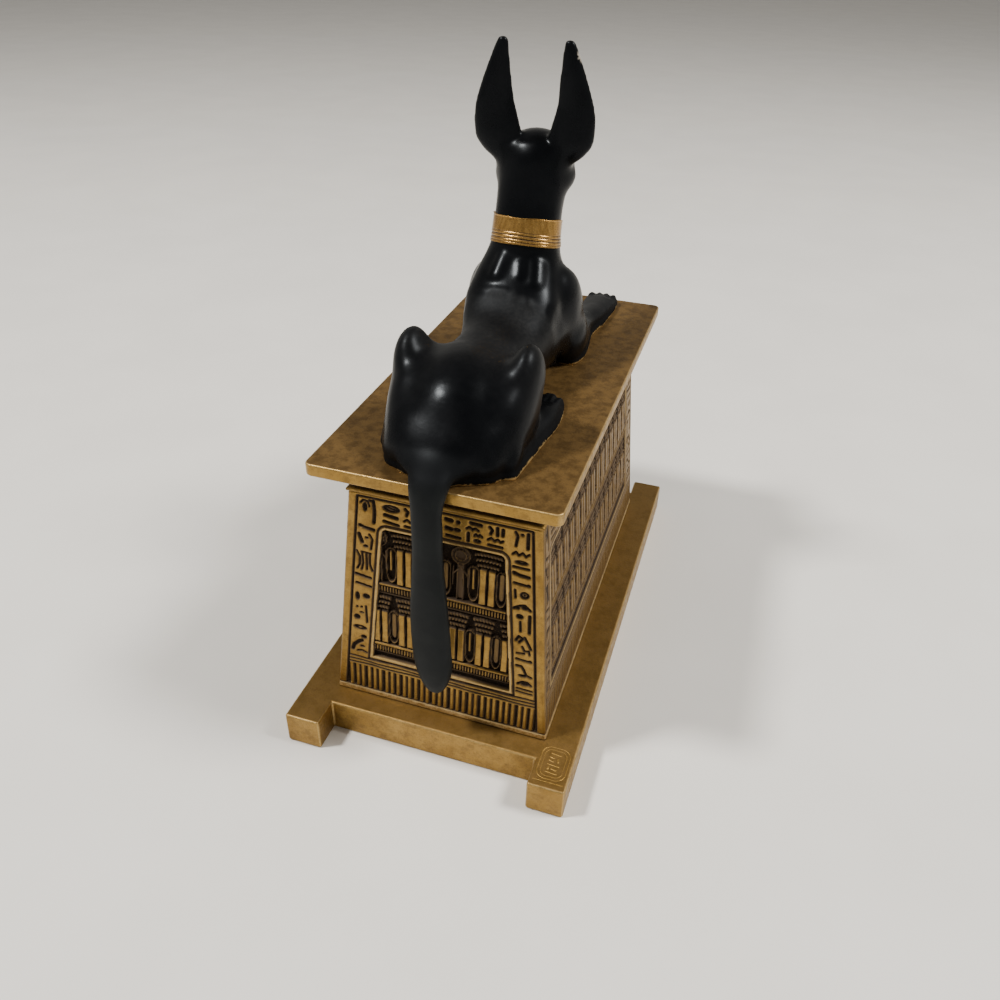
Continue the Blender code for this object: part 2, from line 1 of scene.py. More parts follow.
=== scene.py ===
"""Anubis statue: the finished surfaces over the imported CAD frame.

A black lacquered jackal lies on an antique-gold shrine chest with a sled base. Sizes are in
millimetres and become metres when a mesh is made. The jackal faces -Y.
"""
import math

import bmesh
import bpy
import numpy as np
from mathutils import Matrix, Vector


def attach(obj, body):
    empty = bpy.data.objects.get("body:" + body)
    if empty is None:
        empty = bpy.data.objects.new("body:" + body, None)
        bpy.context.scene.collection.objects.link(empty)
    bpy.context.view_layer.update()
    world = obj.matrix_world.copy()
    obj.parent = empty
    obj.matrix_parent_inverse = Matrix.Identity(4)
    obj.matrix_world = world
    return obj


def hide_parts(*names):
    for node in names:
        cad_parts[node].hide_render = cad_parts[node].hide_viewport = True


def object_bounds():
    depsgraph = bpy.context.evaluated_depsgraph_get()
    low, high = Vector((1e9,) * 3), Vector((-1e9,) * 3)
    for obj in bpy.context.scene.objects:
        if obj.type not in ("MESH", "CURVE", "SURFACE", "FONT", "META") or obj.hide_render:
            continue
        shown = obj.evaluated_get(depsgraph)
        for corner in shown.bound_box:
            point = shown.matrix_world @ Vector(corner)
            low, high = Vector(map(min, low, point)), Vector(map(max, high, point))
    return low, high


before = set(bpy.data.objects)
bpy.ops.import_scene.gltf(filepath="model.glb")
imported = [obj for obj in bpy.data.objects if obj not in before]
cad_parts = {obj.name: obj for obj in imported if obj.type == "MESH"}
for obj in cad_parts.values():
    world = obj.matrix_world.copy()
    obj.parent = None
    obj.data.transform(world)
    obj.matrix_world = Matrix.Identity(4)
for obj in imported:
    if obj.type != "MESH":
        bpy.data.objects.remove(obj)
CAD_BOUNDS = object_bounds()

MM = 0.001

# Sled and slab: as the solids
SLED_WIDTH, SLED_LENGTH = (
    round((high - low) / MM, 3) for low, high in zip(CAD_BOUNDS[0][:2], CAD_BOUNDS[1][:2])
)
SLED_HEIGHT = 11.4
RUNNER_WIDTH, RUNNER_REACH = 11.5, 9.4
SLAB_WIDTH, SLAB_LENGTH, SLAB_THICKNESS, SLAB_TOP = 71.0, 144.2, 3.8, 98.4
SLAB_LIP = 1.5
GAP = 0.3  # between the jackal and the slab

# Chest
CHEST_WIDTH, CHEST_LENGTH = 69.4, 136.4
WALL_HEIGHT = 74.2  # measured up the wall
WALL_LEAN = 0.085  # inward for each mm upward
COVE_SETBACK = 1.3
CORNER_ROUND = 1.0

# Relief on the walls: heights are measured up the wall from the sled
FOOT_BEAD, FOOT_BEAD_RADIUS = 1.3, 1.05
FLUTE_LOW, FLUTE_HIGH, FLUTE_PITCH, FLUTE_DEPTH = 2.6, 11.2, 1.98, 0.85
LINES_UNDER_FRAME = (12.1, 13.2, 14.4)
POST_WIDTH = 2.6
FRAME_LOW, FRAME_HIGH, FRAME_INSET = 15.7, 63.8, 10.7
FRAME_BEAD, FRAME_CORNER = 0.45, 1.9
RECESS_DEPTH = 1.6
BAND_TOP, BAND_DEPTH = 72.6, 0.6
REGISTER_HEIGHTS = (22.6, 45.2)
SHAFT_HEIGHT, SHAFT_WIDTH, SHAFT_SPACING = 12.0, 2.3, 2.62
CAP_HEIGHT, CAP_WIDTH, CAP_TIERS, FEATHER_PITCH = 5.4, 8.6, 3, 0.98
KNOT_PERIOD, KNOT_REACH = 25.1, 4.4
LOOP_WIDTH, LOOP_REACH = 3.3, 4.15  # the reach is from a pair of pillars to the loop beside it
PILLAR_PERIOD = 8.1
# The side walls are shallower and less stained, save painted shade at the panel's rim and foot, and
# their end bands are narrower at the rear
SIDE_PERIOD, SIDE_INSETS, SIDE_POST = 7.2, (6.8, 11.4), 1.3
SIDE_STAIN, SIDE_DEEP = 0.9, 0.55
EMBLEM_SHIFT = 1.0
DENTIL_PITCH = 0.9
FAR_INSIDE = -1e3  # a distance that limits nothing

# Light: each lamp's place and width in metres, and its power in watts
LAMPS = {
    "lamp_right": ((-0.90, -0.11, 1.20), 0.38, 24.0),
    "lamp_left": ((0.71, 0.44, 1.25), 0.19, 24.0),
}
LAMP_COLOUR = (1.0, 0.965, 0.90)
ROOM_LOW, ROOM_HIGH, ROOM_STRENGTH = (0.62, 0.60, 0.55), (0.20, 0.19, 0.175), 1.05
FLOOR_REACH = 4.0

# Camera: a phone held above and behind the statuette, with its turns in degrees
CAMERA_PLACE = (-70.7, 240.5, 220.8)
CAMERA_TURN, CAMERA_DROP, CAMERA_ROLL = 16.99, 34.56, 1.671
CAMERA_LENS, CAMERA_SENSOR = 31.137, 36.0

# Colours, linear
GOLD, GOLD_PALE = (0.275, 0.160, 0.038), (0.350, 0.215, 0.058)
# The second colour on the next line is painted sheen and shade, laid over the side walls.
GOLD_PATINA, GOLD_SHEEN_AND_SHADE = (0.125, 0.072, 0.026), (0.138, 0.083, 0.028)
# The next colour is painted on worn crests and rounded edges, as wear and as a painted highlight.
GOLD_WORN_AND_GLINT = (0.66, 0.50, 0.25)
BROWN, BROWN_PALE = (0.088, 0.050, 0.016), (0.150, 0.088, 0.029)
BRUSHED, BRUSHED_PALE = (0.25, 0.135, 0.036), (0.44, 0.262, 0.080)
WASH_THIN, WASH_DEEP = (0.085, 0.055, 0.031), (0.0105, 0.0055, 0.0025)
SPECK = (0.09, 0.055, 0.025)
BLACK, BLACK_PALE = (0.0016, 0.0018, 0.0023), (0.0032, 0.0034, 0.0041)
SLATE, SLATE_PALE = (0.0058, 0.0067, 0.0070), (0.0088, 0.0100, 0.0100)
DUST, GILT, BARE_RESIN = (0.0125, 0.0125, 0.0128), (0.60, 0.41, 0.17), (0.32, 0.29, 0.25)
BLACK_SHEEN = (0.84, 0.91, 1.0, 1.0)
FLOOR, FLOOR_PALE = (0.73, 0.715, 0.69), (0.76, 0.745, 0.72)


# ---------------------------------------------------------------- mesh helpers

def smooth_step(low, high, value):
    """Eases from 0 where value is low to 1 where it is high; low may be the larger."""
    t = np.clip((value - low) / (high - low), 0.0, 1.0)
    return t * t * (3 - 2 * t)


def wobble(points, size, seed):
    """Smooth, repeatable noise between about -1 and 1 at points in mm; size is a wave in mm."""
    rng = np.random.default_rng(seed)
    total = np.zeros(len(points))
    for octave in range(7):
        direction = rng.normal(size=3)
        direction *= (0.6 + 0.25 * octave) * 2 * math.pi / size / np.linalg.norm(direction)
        total += np.sin(points @ direction + rng.uniform(0, 2 * math.pi))
    return total / 3.2


def blurred(field, reach):
    """A field averaged twice over a square of cells that reaches that far each way."""
    for _ in range(2):
        for axis in (0, 1):
            ends = [(reach + 1, reach) if k == axis else (0, 0) for k in (0, 1)]
            total = np.cumsum(np.pad(field, ends, mode="edge"), axis=axis)
            count = total.shape[axis]
            ahead = np.take(total, range(2 * reach + 1, count), axis=axis)
            behind = np.take(total, range(0, count - 2 * reach - 1), axis=axis)
            field = (ahead - behind) / (2 * reach + 1)
    return field


def linked_object(name, data):
    """A new object in the scene, from a mesh, a light or a camera."""
    made = bpy.data.objects.new(name, data)
    bpy.context.scene.collection.objects.link(made)
    return made


def mesh_object(name, vertices, faces, material, node, attributes):
    """A smooth-shaded piece in metres from vertices in mm, with a value for each by name."""
    mesh = bpy.data.meshes.new(name)
    mesh.from_pydata((np.asarray(vertices) * MM).tolist(), [], faces)
    mesh.update()
    for key, values in attributes.items():
        layer = mesh.attributes.new(key, "FLOAT", "POINT")
        layer.data.foreach_set("value", np.asarray(values, dtype=np.float32))
    mesh.shade_smooth()
    mesh.materials.append(material)
    piece = linked_object(name, mesh)
    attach(piece, "root")
    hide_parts(node)
    return piece


def gold_piece(name, vertices, faces, material, node="shrine", **attributes):
    """A piece in the gold slot, which belongs to the shrine unless node says otherwise."""
    return mesh_object(name, vertices, faces, material, node, attributes)


def grid_faces(rows, columns, flip=False, ring=False):
    """Quads over vertices stored row by row; in a ring the last column joins the first."""
    index = np.arange(rows * columns).reshape(rows, columns)
    if ring:
        index = np.hstack([index, index[:, :1]])
    quads = np.stack(
        [index[:-1, :-1], index[:-1, 1:], index[1:, 1:], index[1:, :-1]], axis=-1
    ).reshape(-1, 4)
    if flip:
        quads = quads[:, ::-1]
    return quads.tolist()


# ---------------------------------------------------------------- relief

def wall_half(length, height):
    """Half a wall's width at a height, where length is its width at the foot."""
    return length / 2 - math.sin(math.atan(WALL_LEAN)) * height


class Relief:
    """A height field over a wall: s runs to the viewer's right, h up the wall, both in mm.

    wash is how much dark stain lies on a place, and rub how far its gold is painted paler, as wear
    and as a highlight.
    limit is a distance that swell never goes under, so it clips what is raised.
    """

    def __init__(self, length, step, insets, post):
        self.length = length
        self.post = post
        self.middle = (insets[0] - insets[1]) / 2
        self.inset = (insets[0] + insets[1]) / 2
        rows = int(round(WALL_HEIGHT / step)) + 1
        columns = int(round(length / step)) + 1
        self.h = np.linspace(0.0, WALL_HEIGHT, rows)[:, None] * np.ones((1, columns))
        self.t = np.linspace(-1.0, 1.0, columns)[None, :] * np.ones((rows, 1))
        self.s = self.t * wall_half(length, self.h)
        self.out = np.zeros_like(self.s)
        self.wash = np.zeros_like(self.s)
        self.rub = np.zeros_like(self.s)
        self.step = step
        self.all = (slice(None), slice(None))
        self.limit = np.full_like(self.s, FAR_INSIDE)

    def panel_half(self, height):
        """Half the width of the framed panel."""
        return wall_half(self.length, height) - self.inset

    def near(self, s_low, s_high, h_low, h_high, margin=1.2):
        """Index ranges that cover a box of the wall."""
        rows, columns = self.s.shape
        low = max(0, int((h_low - margin) / self.step))
        high = min(rows, int((h_high + margin) / self.step) + 2)
        slim = wall_half(self.length, WALL_HEIGHT)
        wide = self.length / 2
        left = min((s_low - margin) / slim, (s_low - margin) / wide)
        right = max((s_high + margin) / slim, (s_high + margin) / wide)
        start = max(0, int((left + 1) / 2 * (columns - 1)))
        stop = min(columns, int((right + 1) / 2 * (columns - 1)) + 2)
        return slice(low, max(low, high)), slice(start, max(start, stop))

    def cut(self, where, distance, depth, soft=0.22, dark=1.0):
        """Sinks the surface by depth, and stains it, where distance is negative."""
        amount = smooth_step(soft, -soft, distance)
        self.out[where] = np.minimum(self.out[where], -depth * amount)
        self.wash[where] = np.maximum(self.wash[where], dark * amount)

    def stroke(self, path, radius, depth):
        """A cut stroke with round ends through points (s, h)."""
        path = np.array(path)
        where = self.near(path[:, 0].min(), path[:, 0].max(), path[:, 1].min(), path[:, 1].max())
        s, h = self.s[where], self.h[where]
        self.cut(where, path_distance(s, h, path) - radius, depth)

    def oval(self, s0, h0, half_s, half_h, ring, depth):
        """A cut oval, or only its outline where ring is a width."""
        where = self.near(s0 - half_s, s0 + half_s, h0 - half_h, h0 + half_h)
        s, h = (self.s[where] - s0) / half_s, (self.h[where] - h0) / half_h
        distance = (np.hypot(s, h) - 1.0) * min(half_s, half_h)
        if ring:
            distance = np.abs(distance + ring) - ring
        self.cut(where, distance, depth)

    def swell(self, where, distance, high, edge, tone):
        """Raises a form from the recess to high with a quarter-round edge, inside distance 0.

        Its edge keeps the stain, and its top has the stain that tone says.
        """
        distance = np.maximum(distance, self.limit[where])
        inside = np.clip(-distance / edge, 0.0, 1.0)
        arch = np.sqrt(1.0 - (1.0 - inside) ** 2)
        rounded = -RECESS_DEPTH + (high + RECESS_DEPTH) * arch
        higher = (distance < 0) & (rounded > self.out[where])
        self.out[where] = np.where(higher, rounded, self.out[where])
        stain = 1.0 - (1.0 - tone) * smooth_step(0.15, 0.95, inside)
        self.wash[where] = np.where(higher, stain, self.wash[where])

    def block(self, s_low, s_high, h_low, h_high, high, edge, tone):
        """A raised rectangle."""
        where = self.near(s_low, s_high, h_low, h_high)
        distance = np.maximum(
            np.maximum(s_low - self.s[where], self.s[where] - s_high),
            np.maximum(h_low - self.h[where], self.h[where] - h_high),
        )
        self.swell(where, distance, high, edge, tone)

    def ridge(self, path, radius, high, tone):
        """A raised line with round ends through points (s, h)."""
        path = np.array(path)
        where = self.near(path[:, 0].min(), path[:, 0].max(), path[:, 1].min(), path[:, 1].max())
        distance = path_distance(self.s[where], self.h[where], path) - radius
        self.swell(where, distance, high, radius, tone)

    def bead(self, distance, radius, high, rub):
        """A half-round moulding along distance 0, its crest painted paler as far as rub says, as wear
        and as a highlight.
        """
        arch = np.sqrt(np.clip(1 - (distance / radius) ** 2, 0, 1))
        on = np.abs(distance) < radius
        self.out = np.where(on, np.maximum(self.out, -0.1 + (high + 0.1) * arch), self.out)
        self.wash = np.where(on, 0.6 * (1 - smooth_step(0.2, 0.75, arch)), self.wash)
        self.rub = np.where(on, rub * smooth_step(0.15, 0.7, arch), self.rub)


def path_distance(s, h, path):
    """Distance from each place to the nearest of a path's straight lines."""
    best = np.full(s.shape, 1e9)
    for (s0, h0), (s1, h1) in zip(path, path[1:]):
        ds, dh = s1 - s0, h1 - h0
        along = np.clip(((s - s0) * ds + (h - h0) * dh) / max(ds * ds + dh * dh, 1e-6), 0, 1)
        best = np.minimum(best, np.hypot(s - s0 - along * ds, h - h0 - along * dh))
    return best


# The inscription bands hold only strokes and ovals, in groups that are no letter of any script.
# A group is its height in mm, its strokes (radius, points) and its ovals (s, h, half s, half h,
# ring). s runs from -1 to 1 across the band, and everything else is in mm.
BOLD, SLIM = 0.5, 0.33
GROUPS = {
    "drop_post": (7.8, [
        (BOLD, [(0.7, 7.3), (0.82, 4.0), (0.7, 0.7)]), (SLIM, [(0.2, 7.3), (0.7, 7.2)]),
        (0.28, [(-0.85, 6.3), (-0.5, 7.2), (0.0, 6.9), (0.2, 5.5)]),
    ], [(-0.35, 5.1, 0.7, 1.4, 0)]),
    "bar": (2.9, [(BOLD, [(-0.9, 1.9), (-0.2, 1.4), (0.85, 1.2)])], [(-0.8, 1.8, 0.7, 0.6, 0)]),
    "slip_fork": (6.0, [
        (0.6, [(-0.85, 5.0), (-0.5, 2.6)]), (SLIM, [(0.45, 5.4), (0.8, 4.0), (0.6, 0.7)]),
    ], [(-0.05, 1.4, 0.8, 0.5, 0), (0.1, 4.2, 0.55, 0.4, 0)]),
    "reeds": (7.4, [
        (SLIM, [(-0.98, 6.8), (-0.62, 5.0), (-0.66, 2.4), (-0.98, 0.9)]),
        (SLIM, [(-0.3, 6.6), (-0.22, 3.0), (-0.42, 0.8)]), (SLIM, [(0.24, 6.6), (0.24, 1.1)]),
        (SLIM, [(0.66, 6.5), (0.62, 3.0), (0.95, 0.9)]), (0.28, [(-0.4, 6.7), (0.8, 6.6)]),
    ], []),
    "two_bars": (6.0, [
        (BOLD, [(-0.95, 4.9), (0.9, 4.3)]), (0.42, [(-0.92, 1.9), (0.9, 1.3)]),
    ], []),
    "two_drops": (5.2, [], [(-0.66, 2.4, 0.72, 1.5, 0), (0.5, 2.9, 1.15, 0.95, 0)]),
    "drop_twig": (7.0, [(SLIM, [(0.6, 6.3), (0.7, 0.6)])], [
        (-0.6, 1.9, 1.05, 0.95, 0), (-0.55, 5.6, 0.4, 0.4, 0), (0.05, 5.8, 0.4, 0.4, 0),
        (0.05, 3.8, 0.7, 0.35, 0),
    ]),
    "flat_loop": (3.6, [], [(-0.05, 1.8, 2.2, 0.85, 0.3)]),
    "long_curl": (8.0, [
        (0.62, [(-0.98, 1.2), (-0.75, 2.9), (-0.1, 4.4), (0.3, 5.0)]),
        (SLIM, [(-0.3, 0.9), (0.3, 1.3), (0.9, 0.8)]),
    ], [(0.6, 6.5, 0.95, 0.75, 0), (0.35, 2.9, 0.8, 0.45, 0)]),
    "crook": (5.4, [
        (0.4, [(-0.6, 4.7), (-0.35, 3.6), (-0.5, 0.9)]), (BOLD, [(0.8, 4.7), (0.86, 0.7)]),
    ], [(0.15, 4.3, 0.5, 0.35, 0)]),
    "ripple": (2.7, [
        (0.3, [(-0.95, 1.0), (-0.6, 1.8), (-0.25, 0.9), (0.2, 1.8), (0.55, 0.9), (0.95, 1.7)]),
    ], []),
    "slot": (3.4, [(SLIM, [(-0.9, 0.8), (0.9, 0.7)])], [(0.0, 2.3, 1.9, 0.65, 0.28)]),
    "thin_bar": (2.5, [(SLIM, [(-0.9, 1.4), (0.95, 1.0)])], [(0.8, 1.2, 0.6, 0.5, 0)]),
    "curl_dot": (4.0, [(0.34, [(-0.85, 3.2), (-0.75, 0.9)])],
                 [(0.3, 2.0, 1.35, 1.15, 0.3), (0.3, 2.0, 0.35, 0.35, 0)]),
    "lens": (3.4, [
        (0.4, [(-0.98, 0.9), (-0.3, 1.9), (0.3, 2.3), (0.98, 1.0)]),
    ], [(0.35, 1.5, 1.1, 0.6, 0), (-0.55, 1.1, 0.7, 0.4, 0)]),
    "drop_posts": (7.0, [
        (0.36, [(-0.3, 3.9), (-0.2, 0.9)]), (BOLD, [(0.76, 6.2), (0.86, 0.9)]),
    ], [(-0.4, 5.6, 1.1, 0.8, 0)]),
    "curls": (7.2, [
        (0.4, [(-0.9, 5.0), (-0.6, 6.4), (-0.1, 5.7), (-0.5, 4.5)]),
        (0.4, [(0.1, 6.3), (0.5, 4.7), (0.95, 2.8)]),
        (SLIM, [(-0.1, 3.2), (0.2, 1.8), (0.7, 2.1), (0.85, 0.9)]), (0.3, [(-0.7, 0.8), (0.2, 1.0)]),
    ], []),
    "step": (5.2, [(0.4, [(-0.95, 4.3), (-0.35, 4.3), (0.0, 3.1), (0.3, 1.5), (0.95, 1.0)])],
             [(-0.1, 1.1, 1.3, 0.5, 0)]),
    "mound": (2.7, [(0.42, [(-0.75, 0.8), (-0.2, 1.7), (0.4, 1.7), (0.85, 0.9)])],
              [(0.1, 1.0, 1.3, 0.6, 0)]),
    "two_lines": (2.8, [(0.3, [(-0.95, 2.0), (0.95, 1.8)]), (0.3, [(-0.95, 0.9), (0.95, 0.7)])], []),
    "loop_bars": (7.4, [
        (BOLD, [(-0.85, 3.4), (0.75, 3.0)]), (0.4, [(-0.98, 1.3), (0.95, 0.7)]),
        (0.28, [(-0.5, 5.9), (0.5, 5.5)]),
    ], [(0.0, 5.7, 2.6, 1.15, 0.3)]),
    "post_squiggle": (7.4, [
        (BOLD, [(-0.5, 6.7), (0.8, 6.5)]), (0.5, [(-0.75, 3.2), (-0.75, 0.8)]),
        (SLIM, [(-0.98, 4.7), (-0.6, 5.3), (-0.25, 4.6), (0.1, 5.2), (0.5, 4.6)]),
        (0.3, [(0.0, 2.9), (0.2, 3.4), (0.45, 2.8), (0.7, 3.4), (0.98, 2.9)]),
    ], [(0.4, 1.3, 1.1, 0.6, 0.28)]),
    "hook_slash": (7.4, [
        (0.42, [(-0.8, 6.6), (-0.45, 5.7), (-0.65, 4.6)]), (BOLD, [(0.15, 6.7), (0.2, 4.5)]),
        (BOLD, [(0.85, 6.5), (0.85, 4.8)]), (0.36, [(-0.85, 1.0), (0.85, 0.85)]),
        (0.3, [(-0.95, 2.6), (-0.55, 3.3), (-0.15, 2.5), (0.25, 3.2), (0.6, 2.5), (0.95, 3.0)]),
    ], []),
    "smudged_bars": (7.4, [
        (0.6, [(-0.9, 6.3), (-0.2, 6.1)]), (0.6, [(-0.85, 3.6), (-0.2, 3.4)]),
        (0.45, [(-0.8, 1.2), (0.9, 1.0)]),
    ], [(0.6, 6.0, 0.7, 0.6, 0), (0.5, 3.5, 1.1, 0.6, 0.28)]),
}
LEFT_BAND = (
    "drop_post", "bar", "slip_fork", "reeds", "two_bars", "two_drops", "drop_twig", "flat_loop",
    "long_curl",
)
RIGHT_BAND = (
    "crook", "ripple", "slot", "bar", "thin_bar", "curl_dot", "lens", "drop_posts", "curls",
    "thin_bar", "step", "mound", "two_lines",
)
TOP_BAND = (
    "loop_bars", "hook_slash", "smudged_bars", "smudged_bars", "post_squiggle", "hook_slash",
)


def carve_group(relief, name, middle, low, half, stretch):
    """Cuts one group of marks: half is half the band's width, and stretch scales its height."""
    _, strokes, ovals = GROUPS[name]
    for radius, path in strokes:
        places = [(middle + s * half, low + h * stretch) for s, h in path]
        relief.stroke(places, radius, BAND_DEPTH)
    for s, h, half_s, half_h, ring in ovals:
        relief.oval(middle + s * half, low + h * stretch, half_s, half_h, ring, BAND_DEPTH)


def carve_bands(relief, reverse):
    """The inscription: a column of strokes at each side and a row of them above the frame."""
    length = relief.length
    for side, names in ((-1, LEFT_BAND), (1, RIGHT_BAND)):
        if reverse:
            names = names[::-1]
        stretch = (BAND_TOP - FRAME_LOW - 0.3) / sum(GROUPS[name][0] for name in names)
        low = BAND_TOP - 0.1
        for name in names:
            tall = GROUPS[name][0] * stretch
            low -= tall
            outer = wall_half(length, low + tall / 2) - relief.post - 1.35
            inner = relief.panel_half(low + tall / 2) + side * relief.middle + FRAME_BEAD + 1.3
            carve_group(relief, name, side * (outer + inner) / 2, low, (outer - inner) / 2,
                        stretch)
    span = relief.panel_half(FRAME_HIGH) - 0.2
    count = int(round(2 * span / 6.5))
    wide = 2 * span / count
    for i in range(count):
        name = TOP_BAND[(count - 1 - i if reverse else i) % len(TOP_BAND)]
        middle = relief.middle - span + (i + 0.5) * wide
        carve_group(relief, name, middle, FRAME_HIGH + 1.2, wide / 2 - 0.75, 1.0)


def framed_distance(relief):
    """Distance to the panel's outline: square at its foot, with rounded upper corners."""
    side = np.abs(relief.s - relief.middle) - relief.panel_half(relief.h)
    over = relief.h - FRAME_HIGH
    square = np.maximum(np.maximum(side, over), FRAME_LOW - relief.h)
    rounded = np.hypot(
        np.maximum(side + FRAME_CORNER, 0), np.maximum(over + FRAME_CORNER, 0)
    ) + np.minimum(np.maximum(side, over) + FRAME_CORNER, 0) - FRAME_CORNER
    return np.where(relief.h > FRAME_LOW + FRAME_CORNER, rounded, square)


def raise_shafts(relief, middle, foot):
    """Two broad pillars side by side, waisted between head and foot."""
    for side in (-0.5, 0.5):
        centre = middle + side * SHAFT_SPACING
        where = relief.near(centre - 1.8, centre + 1.8, foot, foot + SHAFT_HEIGHT)
        s, h = relief.s[where] - centre, relief.h[where] - foot
        half = SHAFT_WIDTH / 2 - 0.12 * np.sin(np.clip(h / SHAFT_HEIGHT, 0, 1) * math.pi)
        distance = np.maximum(np.abs(s) - half, np.maximum(-h, h - SHAFT_HEIGHT))
        relief.swell(where, distance, -0.05, 0.3, 0.0)


def raise_cap(relief, middle, foot, width):
    """Three tiers of feathered bands over a pair of pillars, each wider than the last."""
    tier = CAP_HEIGHT / CAP_TIERS
    where = relief.near(middle - width / 2, middle + width / 2, foot, foot + CAP_HEIGHT)
    s, h = relief.s[where] - middle, relief.h[where] - foot
    row = (h + 0.02 * s ** 2) / tier
    level = np.floor(row)
    across = np.abs(s) - width / 2 + 0.45 * (CAP_TIERS - 1 - level)
    band = np.abs((row % 1.0) - 0.5) * tier - 0.36 * tier
    lean = np.where(level % 2 == 0, 0.7, -0.7)
    feather = 0.5 + 0.5 * np.sin((s + lean * (row % 1.0)) * 2 * math.pi / FEATHER_PITCH)
    outline = np.maximum(band, np.maximum(across, np.maximum(-h, h - CAP_HEIGHT)))
    relief.swell(where, outline, -0.75 + 0.35 * feather, 0.35, 0.72 - 0.5 * feather)


def raise_loop(relief, middle, foot, lit):
    """A long hanging loop with a pointed foot: a rim, a dark channel and a leaf inside.

    The leaf is narrow and bright where lit is true, and broad and dull where it isn't.
    """
    half, tall = LOOP_WIDTH / 2, SHAFT_HEIGHT + 0.3
    where = relief.near(middle - half, middle + half, foot, foot + tall)
    s, h = relief.s[where] - middle, relief.h[where] - foot
    low_end = half * 2.2
    centre_h = np.clip(h, low_end, tall - half)
    reach = np.where(h < low_end, half / low_end, 1.0)
    outline = np.hypot(s, (h - centre_h) * reach) - half
    relief.swell(where, np.abs(outline + 0.22) - 0.22, -0.35, 0.22, 0.12)
    if lit:
        leaf = np.maximum(np.abs(s) - 0.5, np.maximum(4.4 - h, h - tall + 0.8))
        relief.swell(where, leaf, -0.25, 0.35, 0.05)
    else:
        hollow = -1.0 + 0.25 * np.clip(np.abs(s) / half, 0, 1)
        relief.swell(where, outline + 0.75, hollow, 0.4, 0.3)


def raise_knot(relief, middle, foot):
    """A looped knot: two rings over crossed straps and a slim double shaft."""
    ring_h = foot + SHAFT_HEIGHT + 2.9
    where = relief.near(middle - 3.2, middle + 3.2, ring_h - 3.4, ring_h + 3.4)
    s, h = relief.s[where] - middle, relief.h[where] - ring_h
    outline = np.hypot(s, h * 0.98) - 2.9
    relief.swell(where, outline, -0.95, 0.5, 0.6)
    for inset in (0.2, 1.25):
        relief.swell(where, np.abs(outline + inset) - 0.24, -0.35, 0.24, 0.15)
    for side in (-1, 1):
        strap = [(middle + side * 0.9, ring_h - 2.8), (middle - side * 2.2, ring_h - 6.6)]
        relief.ridge(strap, 0.3, -0.45, 0.25)
        strap_end = [(middle + side * 2.2, ring_h - 4.2), (middle + side * 2.3, foot + 4.5)]
        relief.ridge(strap_end, 0.28, -0.6, 0.3)
    relief.block(middle - 1.2, middle + 1.2, foot, foot + SHAFT_HEIGHT, -0.85, 0.4, 0.5)
    for side in (-0.9, 0.9):
        relief.ridge([(middle + side, foot), (middle + side, foot + 9.0)], 0.26, -0.4, 0.15)


def raise_register(relief, period, foot, plain):
    """Pairs of pillars with their caps, and a loop between each two pairs."""
    reach = relief.panel_half(FRAME_LOW) + abs(relief.middle)
    for i in range(-int(reach / period) - 2, int(reach / period) + 3):
        middle = i * period + EMBLEM_SHIFT
        raise_shafts(relief, middle + period / 2, foot)
        raise_cap(relief, middle + period / 2, foot + SHAFT_HEIGHT + 0.2, period - 1.0)
        raise_loop(relief, middle, foot, i % 2 == 1 and not plain)


def raise_knot_register(relief, foot):
    """Pairs of pillars with knots and loops between them."""
    reach = relief.panel_half(FRAME_LOW)
    for i in range(-int(reach / KNOT_PERIOD) - 2, int(reach / KNOT_PERIOD) + 3):
        middle = i * KNOT_PERIOD + EMBLEM_SHIFT
        raise_shafts(relief, middle + KNOT_PERIOD / 2, foot)
        raise_cap(relief, middle + KNOT_PERIOD / 2, foot + SHAFT_HEIGHT + 0.2, CAP_WIDTH)
        raise_loop(relief, middle, foot, False)
        for side in (-1, 1):
            raise_knot(relief, middle + side * KNOT_REACH, foot)
            raise_loop(relief, middle + KNOT_PERIOD / 2 + side * LOOP_REACH, foot, side < 0)


def raise_sill(relief, foot):
    """What a register stands on: a plain bar, a row of dentils and a thin dull bar."""
    half = relief.panel_half(foot)
    low, high = relief.middle - half, relief.middle + half
    relief.block(low, high, foot - 1.35, foot - 0.35, 0.0, 0.3, 0.0)
    for i in range(int(2 * half / DENTIL_PITCH) + 1):
        place = low + (i + 0.5) * DENTIL_PITCH
        relief.block(place - 0.33, place + 0.33, foot - 3.8, foot - 1.6, -0.5, 0.22, 0.08)
    relief.block(low, high, foot - 4.6, foot - 4.1, -0.7, 0.2, 0.45)


def raise_emblems(relief, plain):
    """Two registers. The upper one has knots between its pillars unless it is plain."""
    low_foot, high_foot = REGISTER_HEIGHTS
    if plain:
        raise_register(relief, SIDE_PERIOD, high_foot, True)
        raise_register(relief, SIDE_PERIOD, low_foot, True)
    else:
        raise_knot_register(relief, high_foot)
        raise_register(relief, PILLAR_PERIOD, low_foot, False)
    for foot in REGISTER_HEIGHTS:
        raise_sill(relief, foot)


def carve_lines(relief):
    """The groove inside each post, and the lines under the frame and over the bands."""
    edge = wall_half(relief.length, relief.h) - np.abs(relief.s)
    beyond_band = np.maximum(FLUTE_LOW - relief.h, relief.h - BAND_TOP - 0.4)
    groove = np.maximum(np.abs(edge - relief.post - 0.35) - 0.36, beyond_band)
    relief.cut(relief.all, groove, 0.6, 0.25)
    inside_posts = relief.post + 0.3 - edge
    for height in LINES_UNDER_FRAME:
        uneven = height + 0.12 * np.sin(relief.s * 0.45 + height)
        line = np.maximum(np.abs(relief.h - uneven) - 0.28, inside_posts)
        relief.cut(relief.all, line, 0.5, 0.2, 0.9)
    top_line = np.maximum(np.abs(relief.h - BAND_TOP - 0.35) - 0.3, inside_posts)
    relief.cut(relief.all, top_line, 0.45)


